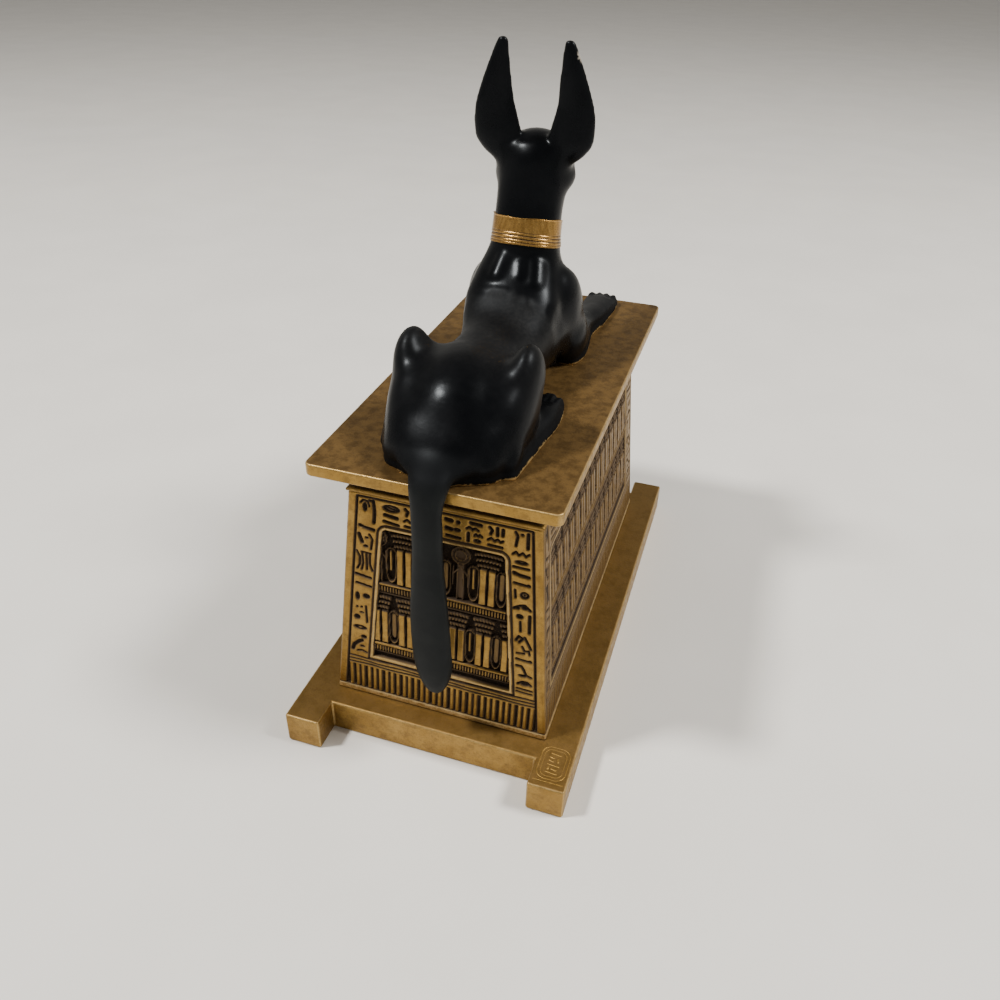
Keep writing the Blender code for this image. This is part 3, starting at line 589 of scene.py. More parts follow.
def carve_flutes(relief):
    """Upright flutes above the foot, not quite evenly spaced."""
    phase = relief.s / FLUTE_PITCH
    waver = 0.06 * np.sin(np.round(phase) * 2.3)
    slot = np.abs((phase + waver) % 1.0 - 0.5) * FLUTE_PITCH - 0.40
    tall = np.maximum(FLUTE_LOW - relief.h, relief.h - FLUTE_HIGH)
    edge = wall_half(relief.length, relief.h) - np.abs(relief.s)
    inside_posts = relief.post + 0.2 - edge
    relief.cut(relief.all, np.maximum(np.maximum(slot, tall), inside_posts), FLUTE_DEPTH, 0.3, 0.9)


def carve_panel(relief, plain):
    """The sunk panel with its emblems, framed by a bead and a groove."""
    outline = framed_distance(relief)
    relief.cut(relief.all, np.abs(outline - FRAME_BEAD - 0.45) - 0.3, 0.55, 0.25, 0.85)
    panel = outline < -0.1
    drop = smooth_step(-0.1, -0.55, outline)
    relief.out = np.where(panel, -RECESS_DEPTH * drop, relief.out)
    relief.wash = np.where(panel, 1.0, relief.wash)
    relief.limit = outline + 0.55
    raise_emblems(relief, plain)
    relief.limit = np.full_like(relief.s, FAR_INSIDE)
    if plain:
        # On a side wall the stain is thinned except along the panel's edge and foot, where it stays
        # full as painted shade.
        shade_kept = np.maximum(smooth_step(2.6, 0.8, -outline), smooth_step(21.5, 18.0, relief.h))
        shade_kept = shade_kept * (outline < 0)
        relief.wash *= SIDE_STAIN + (1 - SIDE_STAIN) * shade_kept
    relief.bead(outline, FRAME_BEAD, 0.5, 0.35)


def carve_wall(length, step, deep, insets, post, plain, reverse):
    """A wall's whole relief; deep scales it, and plain gives a side wall's simpler panel."""
    relief = Relief(length, step, insets, post)
    carve_lines(relief)
    carve_flutes(relief)
    carve_bands(relief, reverse)
    carve_panel(relief, plain)

    # the bead along the foot, its crest painted paler as wear and highlight, with a groove over it
    # and another under it
    relief.bead(relief.h - FOOT_BEAD, FOOT_BEAD_RADIUS, 0.7, 1.0)
    relief.cut(relief.all, np.abs(relief.h - FOOT_BEAD - FOOT_BEAD_RADIUS - 0.1) - 0.16, 0.45, 0.16)
    relief.cut(relief.all, relief.h - 0.25, 0.35, 0.12)
    relief.out *= deep
    # the top edge rolls back towards the cove
    over = np.clip((relief.h - WALL_HEIGHT + 0.7) / 0.7, 0, 1)
    relief.out -= 1.5 * (1 - np.sqrt(np.clip(1 - over ** 2, 0, 1)))
    return relief


def wall_piece(name, outward, half_depth, relief, material, dulled):
    """Lays a relief on a leaning wall, with half of each rounded corner."""
    half = wall_half(relief.length, relief.h)
    room = half - np.abs(relief.s)
    turn = math.pi / 4 * np.clip(1 - room / CORNER_ROUND, 0, 1)
    rolled = np.sign(relief.s) * (half - CORNER_ROUND * (1 - np.sin(turn)))
    s = np.where(room < CORNER_ROUND, rolled, relief.s)
    out = relief.out * np.clip(room / CORNER_ROUND, 0, 1) - CORNER_ROUND * (1 - np.cos(turn))

    lean = math.atan(WALL_LEAN)
    world_up = np.array([0.0, 0.0, 1.0])
    up = world_up * math.cos(lean) - outward * math.sin(lean)
    normal = outward * math.cos(lean) + world_up * math.sin(lean)
    right = np.cross(up, normal)
    foot = outward * half_depth + world_up * SLED_HEIGHT
    points = (
        foot + s[..., None] * right + out[..., None] * normal + relief.h[..., None] * up
    ).reshape(-1, 3)
    # Places sunk below their neighbours are made at least half dark.
    sunk = blurred(relief.out, int(0.9 / relief.step)) - relief.out
    wash = np.maximum(relief.wash, 0.5 * smooth_step(0.05, 0.4, sunk))
    gold_piece(
        name, points, grid_faces(*relief.s.shape), material,
        wash=wash.ravel(), rub=relief.rub.ravel(), dulled=np.full(len(points), dulled),
    )


def make_walls(material):
    """Four leaning walls. The left and front ones are coarser, with their marks reversed."""
    half_x, half_y = CHEST_WIDTH / 2, CHEST_LENGTH / 2
    end = {"deep": 1.0, "insets": (FRAME_INSET, FRAME_INSET), "post": POST_WIDTH, "plain": False}
    side = {"deep": SIDE_DEEP, "post": SIDE_POST, "plain": True}
    rear = carve_wall(CHEST_WIDTH, step=0.25, reverse=False, **end)
    front = carve_wall(CHEST_WIDTH, step=0.34, reverse=True, **end)
    right = carve_wall(CHEST_LENGTH, step=0.33, reverse=False, insets=SIDE_INSETS, **side)
    left = carve_wall(CHEST_LENGTH, step=0.40, reverse=True, insets=SIDE_INSETS[::-1], **side)
    # The last number in each row is how far a wall is painted duller and greyer, as painted sheen and
    # shade.
    for name, outward, half_depth, relief, dulled in (
        ("wall_rear", (0.0, 1.0, 0.0), half_y, rear, 0.0),
        ("wall_front", (0.0, -1.0, 0.0), half_y, front, 0.3),
        ("wall_right", (-1.0, 0.0, 0.0), half_x, right, 1.0),
        ("wall_left", (1.0, 0.0, 0.0), half_x, left, 0.8),
    ):
        wall_piece(name, np.array(outward), half_depth, relief, material, dulled)


# ---------------------------------------------------------------- cove, slab and sled

def make_cove(material):
    """The hollow moulding between the walls and the slab, with a roll at its foot."""
    z_wall = SLED_HEIGHT + WALL_HEIGHT - 0.25
    z_slab = SLAB_TOP - SLAB_THICKNESS + 0.2
    lean = WALL_LEAN * WALL_HEIGHT
    low = np.array([CHEST_WIDTH / 2 - lean - COVE_SETBACK, CHEST_LENGTH / 2 - lean - COVE_SETBACK])
    high = np.array([SLAB_WIDTH / 2 - SLAB_LIP, SLAB_LENGTH / 2 - SLAB_LIP])
    rows = []  # half sizes, height and darkness, from the walls up
    # The roll at the foot is darkened a little, and the hollow under the slab fully.
    for step in range(9):
        turn = (step / 8 - 0.5) * math.pi
        rows.append((low + 0.9 + 0.8 * math.cos(turn), z_wall + 0.3 + 0.8 * math.sin(turn), 0.12))
    for step in range(15):
        turn = step / 14 * math.pi / 2
        rise = (z_slab - z_wall - 1.1) * math.sin(turn)
        rows.append((low + (high - low) * (1 - math.cos(turn)), z_wall + 1.1 + rise, 1.0))
    corners = [np.array(corner) for corner in ((1, 1), (-1, 1), (-1, -1), (1, -1))]
    cells = 40
    points, cove_darkness = [], []
    for half, z, wash in rows:
        for start, end in zip(corners, corners[1:] + corners[:1]):
            for cell in range(cells):
                place = (start + (end - start) * cell / cells) * half
                points.append((place[0], place[1], z))
                cove_darkness.append(wash)
    gold_piece("cove", points, grid_faces(len(rows), 4 * cells, ring=True), material, wash=cove_darkness)


def block_piece(name, outline, low, high, edge, material, browned):
    """An upright prism with rounded edges; browned is how far its top is darkened."""
    bm = bmesh.new()
    face = bm.faces.new([bm.verts.new((x, y, low)) for x, y in outline])
    grown = bmesh.ops.extrude_face_region(bm, geom=[face])
    lifted = [item for item in grown["geom"] if isinstance(item, bmesh.types.BMVert)]
    bmesh.ops.translate(bm, verts=lifted, vec=(0, 0, high - low))
    bmesh.ops.recalc_face_normals(bm, faces=bm.faces)
    sharp = [e for e in bm.edges if e.calc_face_angle() > math.radians(45)]
    bmesh.ops.bevel(bm, geom=sharp, offset=edge, segments=5, profile=0.5, affect="EDGES")
    bm.normal_update()
    points = np.array([vert.co[:] for vert in bm.verts])
    normals = np.array([vert.normal[:] for vert in bm.verts])
    faces = [[vert.index for vert in f.verts] for f in bm.faces]
    bm.free()
    # The rounded edges are painted paler, as a painted highlight where they catch the light and as
    # wear.
    worn_and_glint = smooth_step(0.02, 0.2, 1 - np.abs(normals).max(axis=1))
    piece = gold_piece(
        name, points, faces, material, rub=worn_and_glint * 0.35, browned=np.full(len(points), browned)
    )
    flat = piece.modifiers.new("flat faces", "WEIGHTED_NORMAL")
    flat.keep_sharp = False
    flat.weight = 100


def make_slab(material):
    """The flat slab, with round corners."""
    half_x, half_y = SLAB_WIDTH / 2, SLAB_LENGTH / 2
    corner, turns = 2.1, 6
    outline = []
    for k, (sx, sy) in enumerate(((1, 1), (-1, 1), (-1, -1), (1, -1))):
        for step in range(turns + 1):
            turn = (k + step / turns) * math.pi / 2
            outline.append((
                sx * (half_x - corner) + corner * math.cos(turn),
                sy * (half_y - corner) + corner * math.sin(turn),
            ))
    block_piece("slab", outline, SLAB_TOP - SLAB_THICKNESS, SLAB_TOP, 0.6, material, 1.0)


def make_sled(material):
    """The sled: two runners that reach past the deck between them at both ends."""
    x, y = SLED_WIDTH / 2, SLED_LENGTH / 2
    inner_x, deck_y = x - RUNNER_WIDTH, y - RUNNER_REACH
    outline = [
        (x, y), (inner_x, y), (inner_x, deck_y), (-inner_x, deck_y), (-inner_x, y), (-x, y),
        (-x, -y), (-inner_x, -y), (-inner_x, -deck_y), (inner_x, -deck_y), (inner_x, -y),
        (x, -y),
    ]
    block_piece("sled", outline, 0.0, SLED_HEIGHT, 0.8, material, 0.72)


# The strokes inside a cartouche, which are no letters, as lines from and to (x, y)
CARTOUCHE_MARKS = (
    (-1.6, 3.6, 1.5, 3.3), (-1.2, 2.3, 0.2, 2.0), (1.2, 2.4, 1.3, 1.3), (-1.7, 0.8, 1.6, 0.5),
    (-1.2, -0.7, -0.9, -1.9), (0.3, -0.6, 1.5, -1.0), (0.3, -1.9, 1.5, -2.2),
    (-1.5, -3.3, 1.4, -3.6),
)
CARTOUCHE_STEP, CARTOUCHE_SUNK = 0.16, -0.12


def rounded_distance(across, along, half_x, half_y, corner):
    """Distance to the outline of a rectangle with rounded corners."""
    dx = np.abs(across) - (half_x - corner)
    dy = np.abs(along) - (half_y - corner)
    return np.hypot(np.maximum(dx, 0), np.maximum(dy, 0)) + np.minimum(
        np.maximum(dx, dy), 0
    ) - corner


def make_cartouche(name, x, y, turned, material):
    """A low double ring on a runner's end, with strokes inside it and a bar at its foot."""
    half_x, half_y, reach_y = 4.9, 6.7, 7.7
    across, along = np.meshgrid(
        np.arange(-half_x, half_x + CARTOUCHE_STEP / 2, CARTOUCHE_STEP),
        np.arange(-half_y, reach_y + CARTOUCHE_STEP / 2, CARTOUCHE_STEP),
    )

    def raised(high, low_edge, high_edge, distance):
        return CARTOUCHE_SUNK + high * smooth_step(low_edge, high_edge, distance)

    outer = rounded_distance(across, along, 4.3, 5.9, 2.9)
    inner = rounded_distance(across, along, 3.3, 4.9, 2.1)
    lift = np.maximum(
        raised(0.26, 0.3, 0.0, np.abs(outer)), raised(0.22, 0.26, 0.0, np.abs(inner))
    )
    for x0, y0, x1, y1 in CARTOUCHE_MARKS:
        stroke = path_distance(across, along, [(x0, y0), (x1, y1)])
        lift = np.maximum(lift, raised(0.22, 0.42, 0.12, stroke))
    bar = np.maximum(np.abs(along - 6.9) - 0.05, np.abs(across) - 4.4)
    lift = np.where(outer > 0.5, raised(0.24, 0.3, 0.0, bar), lift)
    points = np.stack([x + across, y + turned * along, SLED_HEIGHT + lift], axis=-1)
    wash = 0.3 * smooth_step(0.6, -0.2, outer) * smooth_step(0.12, -0.08, lift)
    faces = grid_faces(*across.shape, flip=turned < 0)
    gold_piece(name, points.reshape(-1, 3), faces, material, wash=wash.ravel())


# ---------------------------------------------------------------- jackal
# A station is (x, y, z, half width, half height above, half height below), as in the solid.
# The head sits a little to the left, and the left hind foot is tucked in.
HEAD_SHIFT, LEFT_TUCK = 0.4, 3.2
TAIL_X, TAIL_THICKNESS = -0.7, 2.5
TAIL_Y = SLAB_LENGTH / 2 + GAP + 0.25 + TAIL_THICKNESS
TORSO = [
    (0, 71.8, 100.4, 4.6, 1.0, 18), (0, 70.4, 102.3, 7.6, 1.5, 26),
    (0, 67.6, 104.2, 11.4, 2.8, 30), (0, 64.8, 105.8, 13.2, 4.4, 31),
    (0, 61.8, 106.8, 14.0, 6.4, 32), (0, 58.4, 107.8, 15.6, 7.8, 31),
    (0, 55.0, 108.5, 17.2, 9.0, 30), (0, 46.0, 109.6, 17.2, 10.6, 24),
    (0, 36.0, 110.5, 15.6, 11.4, 15), (0, 22.0, 110.5, 12.7, 11.2, 13),
    (0, 8.0, 110.5, 13.4, 10.8, 13), (0, -5.0, 110.5, 16.0, 11.8, 13),
    (0, -16.0, 112.0, 15.4, 11.0, 14), (0, -24.0, 113.0, 12.0, 10.0, 14),
    (0, -29.0, 112.0, 6.0, 7.0, 10),
]
HIPS = [
    (0, 66.0, 104.6, 11.6, 3.6, 24), (0, 63.0, 106.0, 15.0, 5.8, 28),
    (0, 58.0, 107.4, 18.0, 8.0, 30), (0, 50.0, 109.0, 19.4, 10.0, 28),
    (0, 42.0, 109.6, 19.4, 11.6, 22), (0, 36.0, 110.5, 17.4, 11.8, 14),
    (0, 30.0, 110.0, 14.6, 10.4, 12),
]
NECK = [
    (0, -10.5, 112.0, 14.0, 9.4, 13), (0, -10.8, 120.5, 13.8, 9.4, 12.5),
    (0.4, -10.6, 129.0, 12.0, 9.2, 11.0), (0.5, -11.4, 137.0, 10.5, 8.8, 9.6),
    (0.5, -13.5, 145.0, 10.2, 8.6, 8.7), (0.4, -16.0, 153.0, 10.3, 8.8, 8.6),
    (0.4, -17.8, 160.0, 9.8, 8.6, 7.0),
]
MANE = [
    (0.2, 16.0, 112.6, 12.2, 8.6, 8), (0.3, 10.0, 113.6, 13.2, 8.6, 8),
    (0.4, 4.8, 116.9, 14.8, 8.3, 8), (0.6, 0.8, 120.9, 15.0, 8.1, 8),
    (0.8, -3.2, 124.9, 13.9, 8.0, 8), (0.8, -7.0, 128.7, 12.7, 8.0, 8),
    (0.8, -9.8, 131.9, 11.6, 7.7, 8), (0.7, -12.4, 135.2, 10.8, 7.2, 8),
]
MUZZLE = [
    (0, -11.5, 157.5, 9.0, 7.4, 7.5), (0, -17.0, 157.8, 11.6, 8.7, 8.2),
    (0, -23.0, 157.6, 10.8, 8.3, 7.8), (0, -29.0, 156.6, 8.6, 7.0, 6.6),
    (0, -36.0, 155.2, 6.3, 5.4, 5.4), (0, -43.0, 154.2, 5.0, 4.4, 4.5),
    (0, -49.0, 153.6, 4.3, 4.0, 3.8), (0, -52.6, 153.6, 2.8, 2.9, 2.5),
]
EAR = [
    (8.8, -15.0, 158.9, 3.2, 2.5, 2.3), (9.9, -15.0, 161.3, 5.7, 2.9, 2.9),
    (10.7, -14.8, 165.0, 7.0, 2.8, 2.8), (11.6, -14.6, 170.3, 6.5, 2.4, 2.4),
    (11.9, -14.3, 175.0, 5.5, 2.0, 2.1), (11.3, -14.0, 180.0, 4.4, 1.7, 1.8),
    (10.5, -13.8, 185.0, 3.2, 1.5, 1.5), (9.7, -13.6, 189.6, 1.9, 1.3, 1.3),
    (9.4, -13.6, 191.4, 1.2, 1.0, 1.0),
]
FORELEG = [
    (14.6, -11.5, 104.0, 3.2, 4.0, 7), (15.2, -17.0, 104.0, 4.5, 5.6, 7),
    (15.0, -25.0, 103.0, 4.2, 4.4, 6), (14.0, -36.0, 102.0, 3.6, 3.2, 5),
    (14.5, -47.0, 101.4, 4.7, 3.0, 5), (14.6, -57.0, 100.9, 5.6, 2.8, 4),
    (14.6, -64.5, 100.5, 5.4, 2.4, 4), (14.6, -68.8, 99.8, 3.9, 1.6, 3),
]
HIND_FOOT = [
    (16.1, 61.0, 100.0, 3.0, 2.6, 3), (16.2, 55.0, 100.6, 3.5, 3.4, 4),
    (16.6, 47.0, 100.2, 3.8, 3.2, 4), (17.2, 39.0, 100.2, 4.1, 3.1, 4),
    (17.8, 31.0, 100.4, 4.6, 3.3, 4), (17.6, 23.0, 100.2, 4.4, 3.1, 4),
    (17.0, 16.4, 99.8, 3.0, 2.1, 3),
]
SHIN = [
    (16.2, 39.5, 122.2, 3.0, 3.0, 3.0), (17.0, 42.5, 117.2, 3.6, 3.4, 3.4),
    (17.4, 48.5, 110.4, 3.5, 3.2, 3.2), (17.0, 55.0, 104.5, 3.3, 3.2, 3.2),
    (16.6, 59.5, 100.6, 3.0, 2.8, 2.8),
]
TAIL = [
    (0.0, 60.0, 106.0, 4.6, 3.2, 3.2), (TAIL_X * 0.4, 66.0, 104.3, 6.0, 3.3, 3.4),
    (TAIL_X * 0.7, 71.0, 101.9, 6.0, 3.3, 3.4), (TAIL_X, TAIL_Y - 1.2, 98.9, 5.3, 3.0, 3.0),
] + [
    (TAIL_X - drift, TAIL_Y, z, half, thick, thick) for drift, z, half, thick in (
        (0, 94.0, 4.4, 2.6), (0, 88.0, 4.4, TAIL_THICKNESS), (0, 80.0, 4.4, TAIL_THICKNESS),
        (0, 69.0, 5.1, TAIL_THICKNESS), (0, 60.0, 5.7, TAIL_THICKNESS),
        (0.4, 47.0, 6.1, TAIL_THICKNESS), (0.9, 38.0, 5.7, TAIL_THICKNESS),
        (1.1, 32.4, 4.1, 2.2), (1.2, 29.0, 2.0, 1.5),
    )
]
# An ellipsoid is (x, y, z, three radii, forward tilt in degrees). One that lies further out
# than the head is made on both sides.
MASSES = [
    (0.0, 43.0, 106.2, 18.4, 21.8, 18.4, 0),      # rump
    (13.0, 44.5, 109.6, 7.8, 16.0, 12.4, -22),    # thigh
    (16.4, 41.4, 118.0, 5.0, 8.2, 10.2, 10),      # knee
    (9.6, 42.0, 113.6, 7.6, 9.5, 7.9, 0),         # between the knee and the rump
    (10.6, 60.0, 103.2, 6.6, 7.2, 7.0, 0),        # haunch over the heel
    (11.9, -12.0, 115.5, 6.7, 10.5, 15.0, -12),   # shoulder
    (14.6, -14.8, 107.2, 5.7, 8.7, 9.5, 0),       # upper arm
    (11.3, -2.0, 111.5, 4.8, 8.0, 9.0, 0),        # behind the shoulder
    (HEAD_SHIFT, -19.0, 158.2, 11.0, 10.8, 9.2, 0),   # skull
]
HOCK = (15.9, 57.5, 101.6, 3.5, 4.6, 4.4, 0)
CHEEK = (6.4, -18.5, 154.8, 6.0, 6.8, 5.4, 0)
FORE_TOES_X, FORE_TOE_WIDTH = 14.6, 2.7
HIND_TOES_X, HIND_TOE_WIDTH = 17.4, 2.1
COLLAR_SPAN, COLLAR_RIDGES, COLLAR_PROUD = (135.6, 143.9), 3, 0.14
ROUNDNESS = 2.15  # the power of every loft's outline; 2 is an ellipse
SKIN_VOXEL = 0.56
FILLET, FILLET_HEIGHT = 1.2, 2.8
SEAT_GAP = 0.05  # between the skin's lower edge and the slab
CHIP_PLACE = (-11.9, -14.2, 187.2)


def mirrored(rows):
    """The same rows on the other side of the body."""
    return [(-row[0],) + tuple(row[1:]) for row in rows]


def widened(rows, more, level):
    """An ear whose inner edge reaches further in by up to more, mostly near one height."""
    made = []
    for x, y, z, half, *rest in rows:
        amount = more * max(0.0, 1 - ((z - level) / 11.0) ** 2) / 2
        made.append((x - amount, y, z, half + amount, *rest))
    return made


def shifted(rows, across):
    """The same rows moved along x."""
    return [(row[0] + across,) + tuple(row[1:]) for row in rows]


def blend(rows, steps):
    """Smooth stations between the given ones, by a Catmull-Rom curve."""
    made = []
    last = len(rows) - 1
    for i in range(last):
        before, start = rows[max(i - 1, 0)], rows[i]
        end, after = rows[i + 1], rows[min(i + 2, last)]
        for step in range(steps):
            t = step / steps
            made.append([
                0.5 * (2 * b + (c - a) * t + (2 * a - 5 * b + 4 * c - d) * t * t
                       + (3 * b - a - 3 * c + d) * t ** 3)
                for a, b, c, d in zip(before, start, end, after)
            ])
    made.append(list(rows[last]))
    return made


def loft_rings(rows, sides):
    """An array of rings of points: a rounded outline across the path at each station."""
    rows = np.array(rows, dtype=float)
    ahead = np.vstack([rows[1:], rows[-1:]])[:, :3]
    behind = np.vstack([rows[:1], rows[:-1]])[:, :3]
    path = ahead - behind
    path[:, 0] = 0.0
    path /= np.linalg.norm(path, axis=1)[:, None]
    side = np.array([1.0, 0.0, 0.0])
    up = np.cross(path, side)
    turn = np.arange(sides) * 2 * math.pi / sides
    c, s = np.cos(turn), np.sin(turn)
    across = np.sign(c) * np.abs(c) ** (2 / ROUNDNESS)
    rise = np.sign(s) * np.abs(s) ** (2 / ROUNDNESS)
    high = np.where(s[None, :] > 0, rows[:, 4:5], rows[:, 5:6])
    return (
        rows[:, None, :3] + side * (across * rows[:, 3:4])[..., None]
        + up[:, None, :] * (rise * high)[..., None]
    )


def add_loft(bm, rows, sides=48, steps=6):
    """A closed form through stations."""
    rings = loft_rings(blend(rows, steps), sides)
    loops = [[bm.verts.new(point) for point in ring] for ring in rings.tolist()]
    for low, high in zip(loops, loops[1:]):
        for i in range(sides):
            j = (i + 1) % sides
            bm.faces.new((low[i], low[j], high[j], high[i]))
    bm.faces.new(list(reversed(loops[0])))
    bm.faces.new(loops[-1])


def add_mass(bm, row):
    """An ellipsoid."""
    x, y, z, rx, ry, rz, tilt = row
    matrix = (
        Matrix.Translation((x, y, z))
        @ Matrix.Rotation(math.radians(tilt), 4, "X")
        @ Matrix.Diagonal((rx, ry, rz, 1))
    )
    bmesh.ops.create_uvsphere(bm, u_segments=40, v_segments=24, radius=1, matrix=matrix)


def add_toes(bm, x, y, z, width):
    """Four toes side by side, with the outer ones set back."""
    for offset in (-1.5, -0.5, 0.5, 1.5):
        place = (x + offset * width, y + abs(offset) * 0.7, z)
        add_mass(bm, (*place, width * 0.56, 3.6, width * 0.78, 0))


def jackal_masses():
    """Every limb and muscle of the jackal as closed forms that overlap."""
    bm = bmesh.new()
    for rows in (TORSO, HIPS, MANE, NECK, shifted(MUZZLE, HEAD_SHIFT), TAIL):
        add_loft(bm, rows)
    for rows in (FORELEG, SHIN):
        add_loft(bm, shifted(rows, -LEFT_TUCK / 4))
        add_loft(bm, mirrored(rows))
    for rows in (widened(EAR, 0.6, 172.0), mirrored(widened(EAR, -0.3, 168.0))):
        add_loft(bm, shifted(rows, HEAD_SHIFT))
    for row in shifted([CHEEK] + mirrored([CHEEK]), HEAD_SHIFT):
        add_mass(bm, row)
    add_loft(bm, shifted(HIND_FOOT, -LEFT_TUCK))
    add_loft(bm, mirrored(HIND_FOOT))
    for row in shifted([HOCK], -LEFT_TUCK) + mirrored([HOCK]):
        add_mass(bm, row)
    for row in MASSES:
        add_mass(bm, row)
        if row[0] > HEAD_SHIFT:
            add_mass(bm, mirrored([row])[0])
    for x in (-FORE_TOES_X, FORE_TOES_X):
        add_toes(bm, x, -66.2, 100.5, FORE_TOE_WIDTH)
    for x in (-HIND_TOES_X, HIND_TOES_X - LEFT_TUCK):
        add_toes(bm, x, 19.4, 100.4, HIND_TOE_WIDTH)
    return bm


class Clay:
    """The jackal's skin as arrays in mm, pushed and smoothed like clay."""

    def __init__(self, mesh):
        count = len(mesh.vertices)
        self.points = np.empty(count * 3)
        mesh.vertices.foreach_get("co", self.points)
        self.points = self.points.reshape(-1, 3)
        edges = np.empty(len(mesh.edges) * 2, dtype=np.int64)
        mesh.edges.foreach_get("vertices", edges)
        self.start, self.end = edges.reshape(-1, 2).T
        self.faces = [list(face.vertices) for face in mesh.polygons]
        quads = np.array([f if len(f) == 4 else f + f[:1] for f in self.faces])
        self.quads = quads
        near = np.bincount(self.start, minlength=count) + np.bincount(self.end, minlength=count)
        self.near = np.maximum(near, 1)[:, None]
        self.refresh()

    def refresh(self):
        """Works out the normals again."""
        p = self.points
        a, b, c, d = (p[self.quads[:, k]] for k in range(4))
        face_normals = np.cross(c - a, d - b)
        normals = np.zeros_like(p)
        for axis in range(3):
            for k in range(4):
                normals[:, axis] += np.bincount(
                    self.quads[:, k], weights=face_normals[:, axis], minlength=len(p)
                )
        length = np.linalg.norm(normals, axis=1)
        self.normals = normals / np.maximum(length, 1e-9)[:, None]

    def smooth(self, rounds, amount):
        """Moves each point towards its neighbours; amount is one number or one for each."""
        count = len(self.points)
        share = np.broadcast_to(np.asarray(amount, dtype=float), (count,))[:, None] * 0.5
        for _ in range(rounds):
            middle = np.empty_like(self.points)
            for axis in range(3):
                value = self.points[:, axis]
                middle[:, axis] = (
                    np.bincount(self.start, weights=value[self.end], minlength=count)
                    + np.bincount(self.end, weights=value[self.start], minlength=count)
                )
            self.points += (middle / self.near - self.points) * share
        self.refresh()

    def distance(self, path, scale=(1, 1, 1)):
        """Distance from every point to a polyline, with each axis weighed by scale."""
        scale = np.array(scale, dtype=float)
        p = self.points * scale
        path = np.array(path, dtype=float) * scale
        best = np.full(len(p), 1e9)
        for a, b in zip(path, path[1:]):
            ab = b - a
            t = np.clip((p - a) @ ab / max(ab @ ab, 1e-9), 0, 1)
            best = np.minimum(best, np.linalg.norm(p - a - t[:, None] * ab, axis=1))
        return best

    def press(self, path, radius, height, scale=(1, 1, 1), mask=None):
        """A soft ridge, or a groove where height is negative, along a polyline."""
        weight = np.clip(1 - (self.distance(path, scale) / radius) ** 2, 0, 1) ** 2
        if mask is not None:
            weight = weight * mask
        self.points += self.normals * (weight * height)[:, None]
        self.refresh()


def both_sides(path):
    """A path and its mirror image across the middle of the head."""
    return (path, [(2 * HEAD_SHIFT - x, y, z) for x, y, z in path])


def sculpt_back(clay):
    """Strands of the nape and its hem, and hollows at the shoulder blades and the flanks."""
    behind = clay.points[:, 1] > -9
    for path, radius, height in (
        ([(4.8, -1.2, 134), (5.6, 2.2, 130.6)], 3.6, 0.75),
        ([(-1.3, -0.4, 133.2), (-1.9, 2.0, 130.8)], 2.4, 0.4),
        ([(-6.2, -1.0, 133.2), (-7.0, 2.4, 129.8)], 3.8, 0.7),
        ([(8.5, 5.2, 125.4), (5.0, 6.3, 126.4), (1.4, 6.6, 126.7)], 2.3, 0.22),
        ([(-1.2, 7.0, 126.4), (-1.6, 7.6, 125.8)], 1.7, 0.25),
        ([(-6.0, 7.6, 125.2), (-7.4, 8.4, 124.4)], 1.9, 0.45),
    ):
        clay.press(path, radius, height, mask=behind)
    for side in (-1, 1):
        blade = [(side * 12.4, 4.0, 120.5), (side * 15.4, 1.5, 112), (side * 16, -2, 104)]
        clay.press(blade, 3.8, -0.3)
        flank = [(side * 12.0, 28, 119), (side * 16.5, 25, 111), (side * 17, 24, 104)]
        clay.press(flank, 5.0, -0.8)


def sculpt_toes(clay):
    """Grooves between the toes, and a small swelling at each toe's tip."""
    fore, hind = (-70.5, -62.0, FORE_TOE_WIDTH), (16.0, 22.7, HIND_TOE_WIDTH)
    for foot, (y_tip, y_back, width) in (
        (FORE_TOES_X, fore), (-FORE_TOES_X, fore),
        (-HIND_TOES_X, hind), (HIND_TOES_X - LEFT_TUCK, hind),
    ):
        for gap in (-1, 0, 1):
            x = foot + gap * width
            groove = [(x, y_tip, 99.4), (x, y_tip + 2, 102.0), (x, y_back, 102.8)]
            clay.press(groove, 1.0, -0.9)
        for gap in (-1.5, -0.5, 0.5, 1.5):
            x = foot + gap * width
            clay.press([(x, y_tip + 0.6, 100.2), (x, y_tip + 1.6, 101.2)], 0.9, 0.3)


def flare_foot(clay):
    """Spreads the skin a little where it meets the slab, as a thin fillet."""
    above = clay.points[:, 2] - SLAB_TOP
    spread = FILLET * smooth_step(FILLET_HEIGHT, -0.1, above) * (above > -2.0)
    spread = spread * smooth_step(SLAB_LENGTH / 2 - 0.4, SLAB_LENGTH / 2 - 4, clay.points[:, 1])
    flat = clay.normals[:, :2]
    flat = flat / np.maximum(np.linalg.norm(flat, axis=1), 1e-6)[:, None]
    clay.points[:, :2] += flat * spread[:, None]
    clay.refresh()


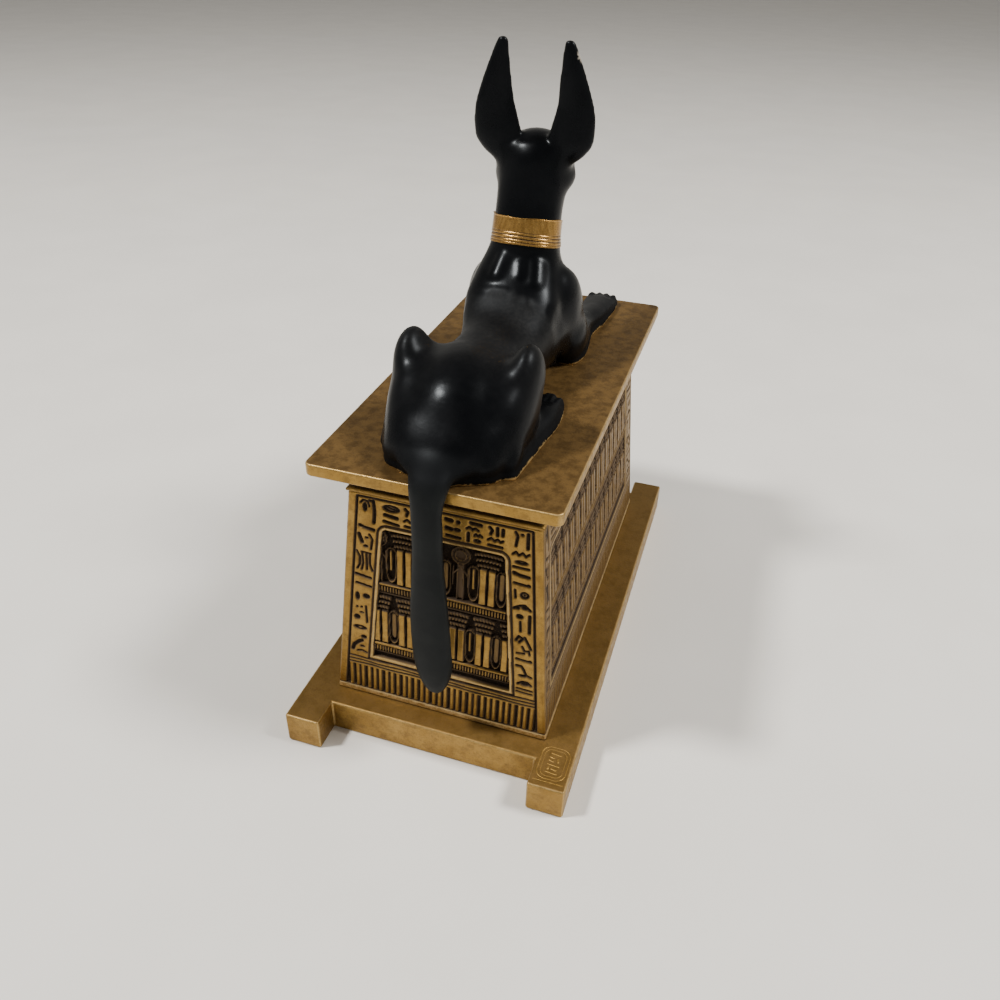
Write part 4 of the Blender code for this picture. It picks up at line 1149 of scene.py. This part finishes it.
def sculpt_head(clay):
    """Ear hollows, eyes, cheeks, nose and mouth."""
    points = clay.points
    ear = np.array(blend(EAR, 8))
    side = np.sign(points[:, 0] - HEAD_SHIFT)
    middle = HEAD_SHIFT + side * np.interp(points[:, 2], ear[:, 2], ear[:, 0])
    half = np.interp(points[:, 2], ear[:, 2], ear[:, 3])
    back = np.interp(points[:, 2], ear[:, 2], ear[:, 1])
    across = np.clip((points[:, 0] - middle) / (half * 0.86), -1, 1)
    rise = smooth_step(162.5, 166.5, points[:, 2]) * smooth_step(189.0, 181.0, points[:, 2])
    front = smooth_step(0.3, -0.6, points[:, 1] - back) * (clay.normals[:, 1] < 0.4)
    clay.points[:, 1] += 3.0 * rise * front * (1 - across ** 2) ** 0.8
    clay.refresh()
    clay.smooth(3, rise * 0.8)

    def on_head(path, radius, height, scale=(1, 1, 1)):
        for half_path in both_sides(path):
            clay.press(half_path, radius, height, scale)

    on_head([(8.6, -27.6, 163.4), (9.6, -24, 164.0), (10.4, -20, 163.0)], 2.2, 0.55)
    on_head([(9.0, -24.2, 160.4), (8.3, -28.6, 159.8)], 2.9, -0.7)
    on_head([(9.0, -24.8, 160.4), (8.5, -27.6, 160.0)], 1.9, 1.0)
    on_head([(9.9, -21.6, 161.4), (8.6, -25.8, 162.2), (7.6, -30.2, 159.4)], 0.75, 0.35)
    on_head([(9.8, -22.0, 160.0), (8.8, -26.2, 158.2), (7.6, -30.2, 159.2)], 0.75, 0.3)
    on_head([(7.4, -30.8, 158.8), (5.6, -38, 157.2)], 1.6, -0.25)
    on_head([(10.2, -22, 154.5), (8.4, -30, 154.2)], 3.0, 0.35)
    on_head([(2.2, -52.0, 152.2), (4.6, -44, 152.0), (6.0, -36, 152.0), (7.4, -31, 152.8)],
            0.9, -0.55)
    on_head([(1.8, -52.4, 153.9), (2.6, -51.4, 154.2)], 0.85, -0.6)
    on_head([(2.6, -50.2, 156.4), (2.4, -50.6, 153.6)], 0.7, -0.25)
    clay.press([(HEAD_SHIFT, -53.2, 155.6), (HEAD_SHIFT, -53.2, 152.6)], 0.7, -0.3)
    on_head([(6.2, -16.5, 150.2), (5.0, -24, 149.8)], 2.4, 0.3)


def one_skin(bm):
    """The outer skin of overlapping forms in mm, as clay."""
    rough = bpy.data.meshes.new("rough")
    bmesh.ops.recalc_face_normals(bm, faces=bm.faces)
    bm.to_mesh(rough)
    bm.free()
    lump = linked_object("rough", rough)
    shell = lump.modifiers.new("one skin", "REMESH")
    shell.mode = "VOXEL"
    shell.voxel_size = SKIN_VOXEL
    depsgraph = bpy.context.evaluated_depsgraph_get()
    clay = Clay(lump.evaluated_get(depsgraph).to_mesh())
    bpy.data.objects.remove(lump)
    bpy.data.meshes.remove(rough)
    return clay


def soften(clay):
    """Melts the forms into one another, least at the feet and the head and most at the rump."""
    clay.smooth(6, 1.0)
    x, y, z = clay.points.T
    nape = smooth_step(-17, -13, y) * (np.abs(x) < 9)
    soft = smooth_step(102.5, 106, z) * np.maximum(
        smooth_step(158, 150, z), nape * smooth_step(166, 162, z)
    )
    under_ear = smooth_step(150, 156, z) * smooth_step(165, 161.5, z) * smooth_step(-20, -17, y)
    clay.smooth(40, np.maximum(soft, under_ear))
    x, y, z = clay.points.T
    flank = smooth_step(8, 11, np.abs(x)) * smooth_step(-8, -4, y) * smooth_step(124, 118, z)
    clay.smooth(60, soft * np.maximum(flank, smooth_step(26, 40, y)))


def cut_at_seat(clay):
    """The skin above the slab and behind its rear edge, as points in mm and faces."""
    mesh = bpy.data.meshes.new("jackal_skin")
    mesh.from_pydata((clay.points * MM).tolist(), [], clay.faces)
    mesh.update()
    lump = linked_object("jackal_skin", mesh)
    bm = bmesh.new()
    low, high = (-60, -100, 60), (60, SLAB_LENGTH / 2 + GAP, SLAB_TOP + SEAT_GAP)
    for vert in bmesh.ops.create_cube(bm, size=1.0)["verts"]:
        vert.co = Vector([(high if vert.co[k] > 0 else low)[k] * MM for k in range(3)])
    block = bpy.data.meshes.new("seat")
    bm.to_mesh(block)
    bm.free()
    seat = linked_object("seat", block)
    cut = lump.modifiers.new("seat", "BOOLEAN")
    cut.operation = "DIFFERENCE"
    cut.solver = "FAST"
    cut.object = seat
    depsgraph = bpy.context.evaluated_depsgraph_get()
    cut_mesh = lump.evaluated_get(depsgraph).to_mesh()
    points = np.empty(len(cut_mesh.vertices) * 3)
    cut_mesh.vertices.foreach_get("co", points)
    faces = [list(face.vertices) for face in cut_mesh.polygons]
    bpy.data.objects.remove(lump)
    bpy.data.objects.remove(seat)
    return points.reshape(-1, 3) / MM, faces


def jackal_paint(points):
    """Where the lacquer is slate, gilt, chipped, dusty or dull near the seat, each from 0 to 1."""
    _, y, z = points.T
    above = z - SLAB_TOP
    seat = smooth_step(6.5, 2.0, above) * smooth_step(73.0, 71.0, y)
    ragged = 0.46 + 0.16 * wobble(points, 7.0, 11) + 0.12 * wobble(points, 2.1, 12)
    chip = np.linalg.norm(points - np.array(CHIP_PLACE), axis=1)
    dusty = smooth_step(104, 114, z) * smooth_step(56, 32, y)
    dusty = dusty * smooth_step(5.4, 8.0, y + 0.8 * wobble(points, 6.0, 16))
    return {
        "slate": smooth_step(104.5, 97.5, z) * smooth_step(68.5, 72.0, y),
        "gilt": smooth_step(0.12, -0.06, above - ragged) * (y < SLAB_LENGTH / 2 + 0.2),
        "chipped": smooth_step(1.5, 0.9, chip + 0.4 * wobble(points, 1.4, 14)),
        "dusty": dusty * (0.75 + 0.25 * wobble(points, 24.0, 15)),
        "seat": np.maximum(seat, smooth_step(109, 104.5, z) * smooth_step(65.5, 69, y)),
    }


def make_jackal(material):
    clay = one_skin(jackal_masses())
    soften(clay)
    sculpt_back(clay)
    sculpt_toes(clay)
    sculpt_head(clay)
    clay.smooth(4, 0.5 + 0.5 * smooth_step(158, 150, clay.points[:, 2]))
    flare_foot(clay)
    points, faces = cut_at_seat(clay)
    mesh_object(
        "jackal_body", points, faces, material, "jackal", jackal_paint(points)
    )


def make_collar(material):
    """The collar: a plain band above and raised rings below, round the neck."""
    low, high = COLLAR_SPAN
    rows = np.array([row for row in blend(NECK, 90) if low <= row[2] <= high])
    t = (rows[:, 2] - low) / (high - low)
    rings = np.abs(np.sin((t - 0.1) / 0.34 * math.pi * COLLAR_RIDGES)) ** 0.6
    ringed = (t > 0.1) & (t < 0.44)
    proud = COLLAR_PROUD + np.where(ringed, 0.3 * rings - 0.18, 0.08)
    proud += 0.16 * smooth_step(0.92, 0.96, t)
    proud -= 1.2 * smooth_step(0.975, 1.0, t) + 1.2 * smooth_step(0.03, 0.0, t)
    rows[:, 3:] += proud[:, None]
    sides = 160
    points = loft_rings(rows.tolist(), sides).reshape(-1, 3)
    up_t = np.repeat(t, sides)
    turn = np.tile(np.arange(sides) * 2 * math.pi / sides, len(rows))
    behind = np.clip(np.sin(turn), 0, 1)
    points[:, 2] += behind * (0.9 - 1.6 * up_t)
    points[:, 2] -= 0.5 * up_t * np.clip(-np.cos(turn), 0, 1) * behind
    points[:, 2] += smooth_step(0.5, 1.0, up_t) * (
        0.2 * np.sin(3 * turn + 0.8) + 0.1 * np.sin(7 * turn)
    )
    wash = np.where(ringed, 0.85 * (1 - smooth_step(0.3, 0.75, rings)), 0.0)
    gold_piece(
        "collar", points, grid_faces(len(rows), sides, ring=True), material, "jackal",
        wash=np.repeat(wash, sides), brushed=np.ones(len(points)),
    )


# ---------------------------------------------------------------- materials

def plug(tree, socket, value):
    """Gives a socket another node's output, or a number or colour of its own."""
    if isinstance(value, bpy.types.NodeSocket):
        tree.links.new(value, socket)
    else:
        socket.default_value = value


def add_node(tree, kind, inputs=None, **settings):
    """A shader node; an input may be a number, a colour or another node's output."""
    made = tree.nodes.new("ShaderNode" + kind)
    for key, value in settings.items():
        setattr(made, key, value)
    for key, value in (inputs or {}).items():
        plug(tree, made.inputs[key], value)
    return made


def blank_material(name):
    """A material with its node tree and its shader."""
    material = bpy.data.materials.new(name)
    material.use_nodes = True
    return material, material.node_tree, material.node_tree.nodes["Principled BSDF"]


def noise(tree, size, detail=3.0, rough=0.55, stretch=(1, 1, 1)):
    """Noise from about 0 to 1 with features of that size in mm."""
    place = add_node(tree, "TexCoord").outputs["Object"]
    turned = add_node(tree, "Mapping", {"Vector": place, "Scale": stretch}).outputs["Vector"]
    made = add_node(
        tree, "TexNoise",
        {"Vector": turned, "Scale": 1 / (size * MM), "Detail": detail, "Roughness": rough},
    )
    return made.outputs["Fac"]


def attribute(tree, name):
    """What a mesh says for each point by that name, or 0 where it says nothing."""
    return add_node(tree, "Attribute", attribute_name=name).outputs["Fac"]


def ramp(tree, value, low, high, to_low=0.0, to_high=1.0):
    """Eases from to_low to to_high as value goes from low to high."""
    made = add_node(
        tree, "MapRange",
        {"Value": value, "From Min": low, "From Max": high, "To Min": to_low,
         "To Max": to_high},
        interpolation_type="SMOOTHSTEP",
    )
    return made.outputs["Result"]


def maths(tree, operation, a, b):
    return add_node(tree, "Math", {0: a, 1: b}, operation=operation).outputs[0]


def mix_colour(tree, factor, a, b):
    made = add_node(tree, "Mix", data_type="RGBA")
    plug(tree, made.inputs[0], factor)
    for index, value in ((6, a), (7, b)):
        plug(tree, made.inputs[index], (*value, 1.0) if isinstance(value, tuple) else value)
    return made.outputs[2]


def product(tree, a, b):
    return maths(tree, "MULTIPLY", a, b)


def mix_value(tree, factor, a, b):
    return add_node(tree, "Mix", {0: factor, 2: a, 3: b}, data_type="FLOAT").outputs[0]


def upward(tree, low, high):
    """From 0 to 1 as a surface turns to face straight up."""
    normal = add_node(tree, "NewGeometry").outputs["Normal"]
    z = add_node(tree, "SeparateXYZ", {"Vector": normal}).outputs["Z"]
    return ramp(tree, z, low, high)


def add_bump(tree, shader, strength, layers):
    """A fine unevenness, the sum of layers of noise, each with its weight."""
    height = None
    for layer, weight in layers:
        part = product(tree, layer, weight)
        height = part if height is None else maths(tree, "ADD", height, part)
    bump = add_node(tree, "Bump", {"Height": height, "Strength": strength, "Distance": MM})
    tree.links.new(bump.outputs["Normal"], shader.inputs["Normal"])


def gold_material():
    """Antique gold paint over resin, mottled, with a dark wash in the hollows."""
    material, tree, shader = blank_material("antique_gold")
    cloudy = noise(tree, 9.0, 5.0, 0.65)
    patches = noise(tree, 3.2, 6.0, 0.7)
    fine = noise(tree, 1.3, 4.0, 0.65)
    grain = noise(tree, 0.35, 2.0, 0.6)
    scratches = noise(tree, 1.6, 4.0, 0.7, (1.0, 1.0, 0.08))
    wash, dulled, rub, browned, brushed = (
        attribute(tree, name) for name in ("wash", "dulled", "rub", "browned", "brushed")
    )
    flat = product(tree, upward(tree, 0.75, 0.96), browned)
    unrubbed = maths(tree, "SUBTRACT", 1.0, rub)
    mottled = product(tree, ramp(tree, patches, 0.42, 0.70, 0.0, 0.5), unrubbed)
    # The pale colour is partly wear and partly a painted highlight on edges and crests.
    worn_and_glint = product(tree, rub, ramp(tree, fine, 0.3, 0.6, 0.45, 1.0))
    stain = product(tree, wash, ramp(tree, fine, 0.15, 0.5, 0.72, 1.0))
    brown = mix_colour(tree, ramp(tree, patches, 0.36, 0.62), BROWN, BROWN_PALE)
    brushed_gold = mix_colour(tree, ramp(tree, scratches, 0.3, 0.8), BRUSHED, BRUSHED_PALE)

    colour = mix_colour(tree, ramp(tree, cloudy, 0.3, 0.7), GOLD, GOLD_PALE)
    # The side walls' duller colour among these layers is painted sheen and shade.
    for amount, layer in (
        (mottled, GOLD_PATINA), (product(tree, dulled, 0.72), GOLD_SHEEN_AND_SHADE), (flat, brown),
        (worn_and_glint, GOLD_WORN_AND_GLINT), (brushed, brushed_gold),
        (ramp(tree, stain, 0.0, 0.5), WASH_THIN), (ramp(tree, stain, 0.45, 0.95), WASH_DEEP),
        (ramp(tree, grain, 0.55, 0.68, 0.0, 0.45), SPECK),
    ):
        colour = mix_colour(tree, amount, colour, layer)
    tree.links.new(colour, shader.inputs["Base Color"])

    metal = mix_value(tree, ramp(tree, stain, 0.0, 0.5), 0.88, 0.1)
    metal = mix_value(tree, product(tree, dulled, 0.25), metal, 0.2)
    metal = mix_value(tree, product(tree, flat, 0.6), metal, 0.4)
    tree.links.new(metal, shader.inputs["Metallic"])
    rough = mix_value(tree, ramp(tree, fine, 0.3, 0.7), 0.34, 0.50)
    for amount, level in (
        (mottled, 0.62), (stain, 0.8), (product(tree, flat, 0.6), 0.62),
        (product(tree, brushed, 0.7), 0.20),
    ):
        rough = mix_value(tree, amount, rough, level)
    tree.links.new(rough, shader.inputs["Roughness"])
    shader.inputs["Specular IOR Level"].default_value = 0.16
    add_bump(tree, shader, 0.55, ((fine, 0.10), (grain, 0.035), (cloudy, 0.25)))
    return material


def black_material():
    """Black lacquer with a satin gloss, a slate tail and gold that shows at the seat."""
    material, tree, shader = blank_material("black_gloss")
    cloudy = noise(tree, 11.0, 3.0, 0.6)
    fine = noise(tree, 1.1, 4.0, 0.6)
    grain = noise(tree, 0.3, 2.0, 0.5)
    slate, gilt, chipped, dusty, seat = (
        attribute(tree, name) for name in ("slate", "gilt", "chipped", "dusty", "seat")
    )
    slate_colour = mix_colour(tree, ramp(tree, cloudy, 0.3, 0.7), SLATE, SLATE_PALE)
    colour = mix_colour(tree, ramp(tree, cloudy, 0.35, 0.7), BLACK, BLACK_PALE)
    for amount, layer in (
        (product(tree, dusty, ramp(tree, fine, 0.35, 0.7, 0.4, 1.0)), DUST),
        (slate, slate_colour), (gilt, GILT), (chipped, BARE_RESIN),
    ):
        colour = mix_colour(tree, amount, colour, layer)
    tree.links.new(colour, shader.inputs["Base Color"])
    tree.links.new(product(tree, gilt, 0.75), shader.inputs["Metallic"])
    rough = mix_value(tree, ramp(tree, cloudy, 0.3, 0.7), 0.25, 0.31)
    bare = maths(tree, "MAXIMUM", gilt, chipped)
    for amount, level in ((dusty, 0.60), (seat, 0.66), (slate, 0.50), (bare, 0.45)):
        rough = mix_value(tree, amount, rough, level)
    tree.links.new(rough, shader.inputs["Roughness"])
    shader.inputs["Specular IOR Level"].default_value = 0.10
    shader.inputs["Specular Tint"].default_value = BLACK_SHEEN
    add_bump(tree, shader, 0.5, ((fine, 0.03), (grain, 0.008), (cloudy, 0.2)))
    return material


def floor_material():
    material, tree, shader = blank_material("pale_floor")
    mottle = noise(tree, 60.0, 3.0)
    colour = mix_colour(tree, ramp(tree, mottle, 0.3, 0.7), FLOOR, FLOOR_PALE)
    tree.links.new(colour, shader.inputs["Base Color"])
    shader.inputs["Roughness"].default_value = 0.7
    return material


# ---------------------------------------------------------------- stage

def make_floor():
    mesh = bpy.data.meshes.new("floor")
    corners = [(x * FLOOR_REACH, y * FLOOR_REACH, 0) for x, y in ((-1, -1), (1, -1), (1, 1), (-1, 1))]
    mesh.from_pydata(corners, [], [(0, 1, 2, 3)])
    mesh.materials.append(floor_material())
    linked_object("floor", mesh)


def make_lamps():
    for name, (place, width, power) in LAMPS.items():
        light = bpy.data.lights.new(name, "AREA")
        light.shape = "DISK"
        light.size = width
        light.energy = power
        light.color = LAMP_COLOUR
        lamp = linked_object(name, light)
        lamp.location = place
        lamp.rotation_euler = (-Vector(place)).to_track_quat("-Z", "Y").to_euler()


def make_room():
    """A pale room as the world's light, brighter at the level of the floor."""
    world = bpy.data.worlds.new("pale_room")
    world.use_nodes = True
    tree = world.node_tree
    place = add_node(tree, "TexCoord").outputs["Generated"]
    height = add_node(tree, "SeparateXYZ", {"Vector": place}).outputs["Z"]
    shade = mix_colour(tree, ramp(tree, height, 0.05, 0.75), ROOM_LOW, ROOM_HIGH)
    backdrop = tree.nodes["Background"]
    tree.links.new(shade, backdrop.inputs["Color"])
    backdrop.inputs["Strength"].default_value = ROOM_STRENGTH
    bpy.context.scene.world = world


def make_camera():
    """A camera that looks along its turn and its drop, then rolls."""
    turn, drop, roll = (math.radians(v) for v in (CAMERA_TURN, CAMERA_DROP, CAMERA_ROLL))
    ahead = Vector((
        math.sin(turn) * math.cos(drop), -math.cos(turn) * math.cos(drop), -math.sin(drop)
    ))
    level = Vector((-math.cos(turn), -math.sin(turn), 0))
    above = level.cross(ahead)
    right = level * math.cos(roll) + above * math.sin(roll)
    up = above * math.cos(roll) - level * math.sin(roll)
    data = bpy.data.cameras.new("camera")
    data.lens = CAMERA_LENS
    data.sensor_width = CAMERA_SENSOR
    data.clip_start = 0.01
    camera = linked_object("camera", data)
    turned = Matrix((right, up, -ahead)).transposed().to_4x4()
    camera.matrix_world = Matrix.Translation(Vector(CAMERA_PLACE) * MM) @ turned
    bpy.context.scene.camera = camera


def main():
    gold, black = gold_material(), black_material()
    make_walls(gold)
    make_cove(gold)
    make_slab(gold)
    make_sled(gold)
    x = (SLED_WIDTH - RUNNER_WIDTH) / 2
    y = SLED_LENGTH / 2 - RUNNER_REACH
    make_cartouche("cartouche_rear", -x, y, 1, gold)
    make_cartouche("cartouche_front", x, -y, -1, gold)
    make_jackal(black)
    make_collar(gold)
    make_floor()
    make_lamps()
    make_room()
    make_camera()


main()
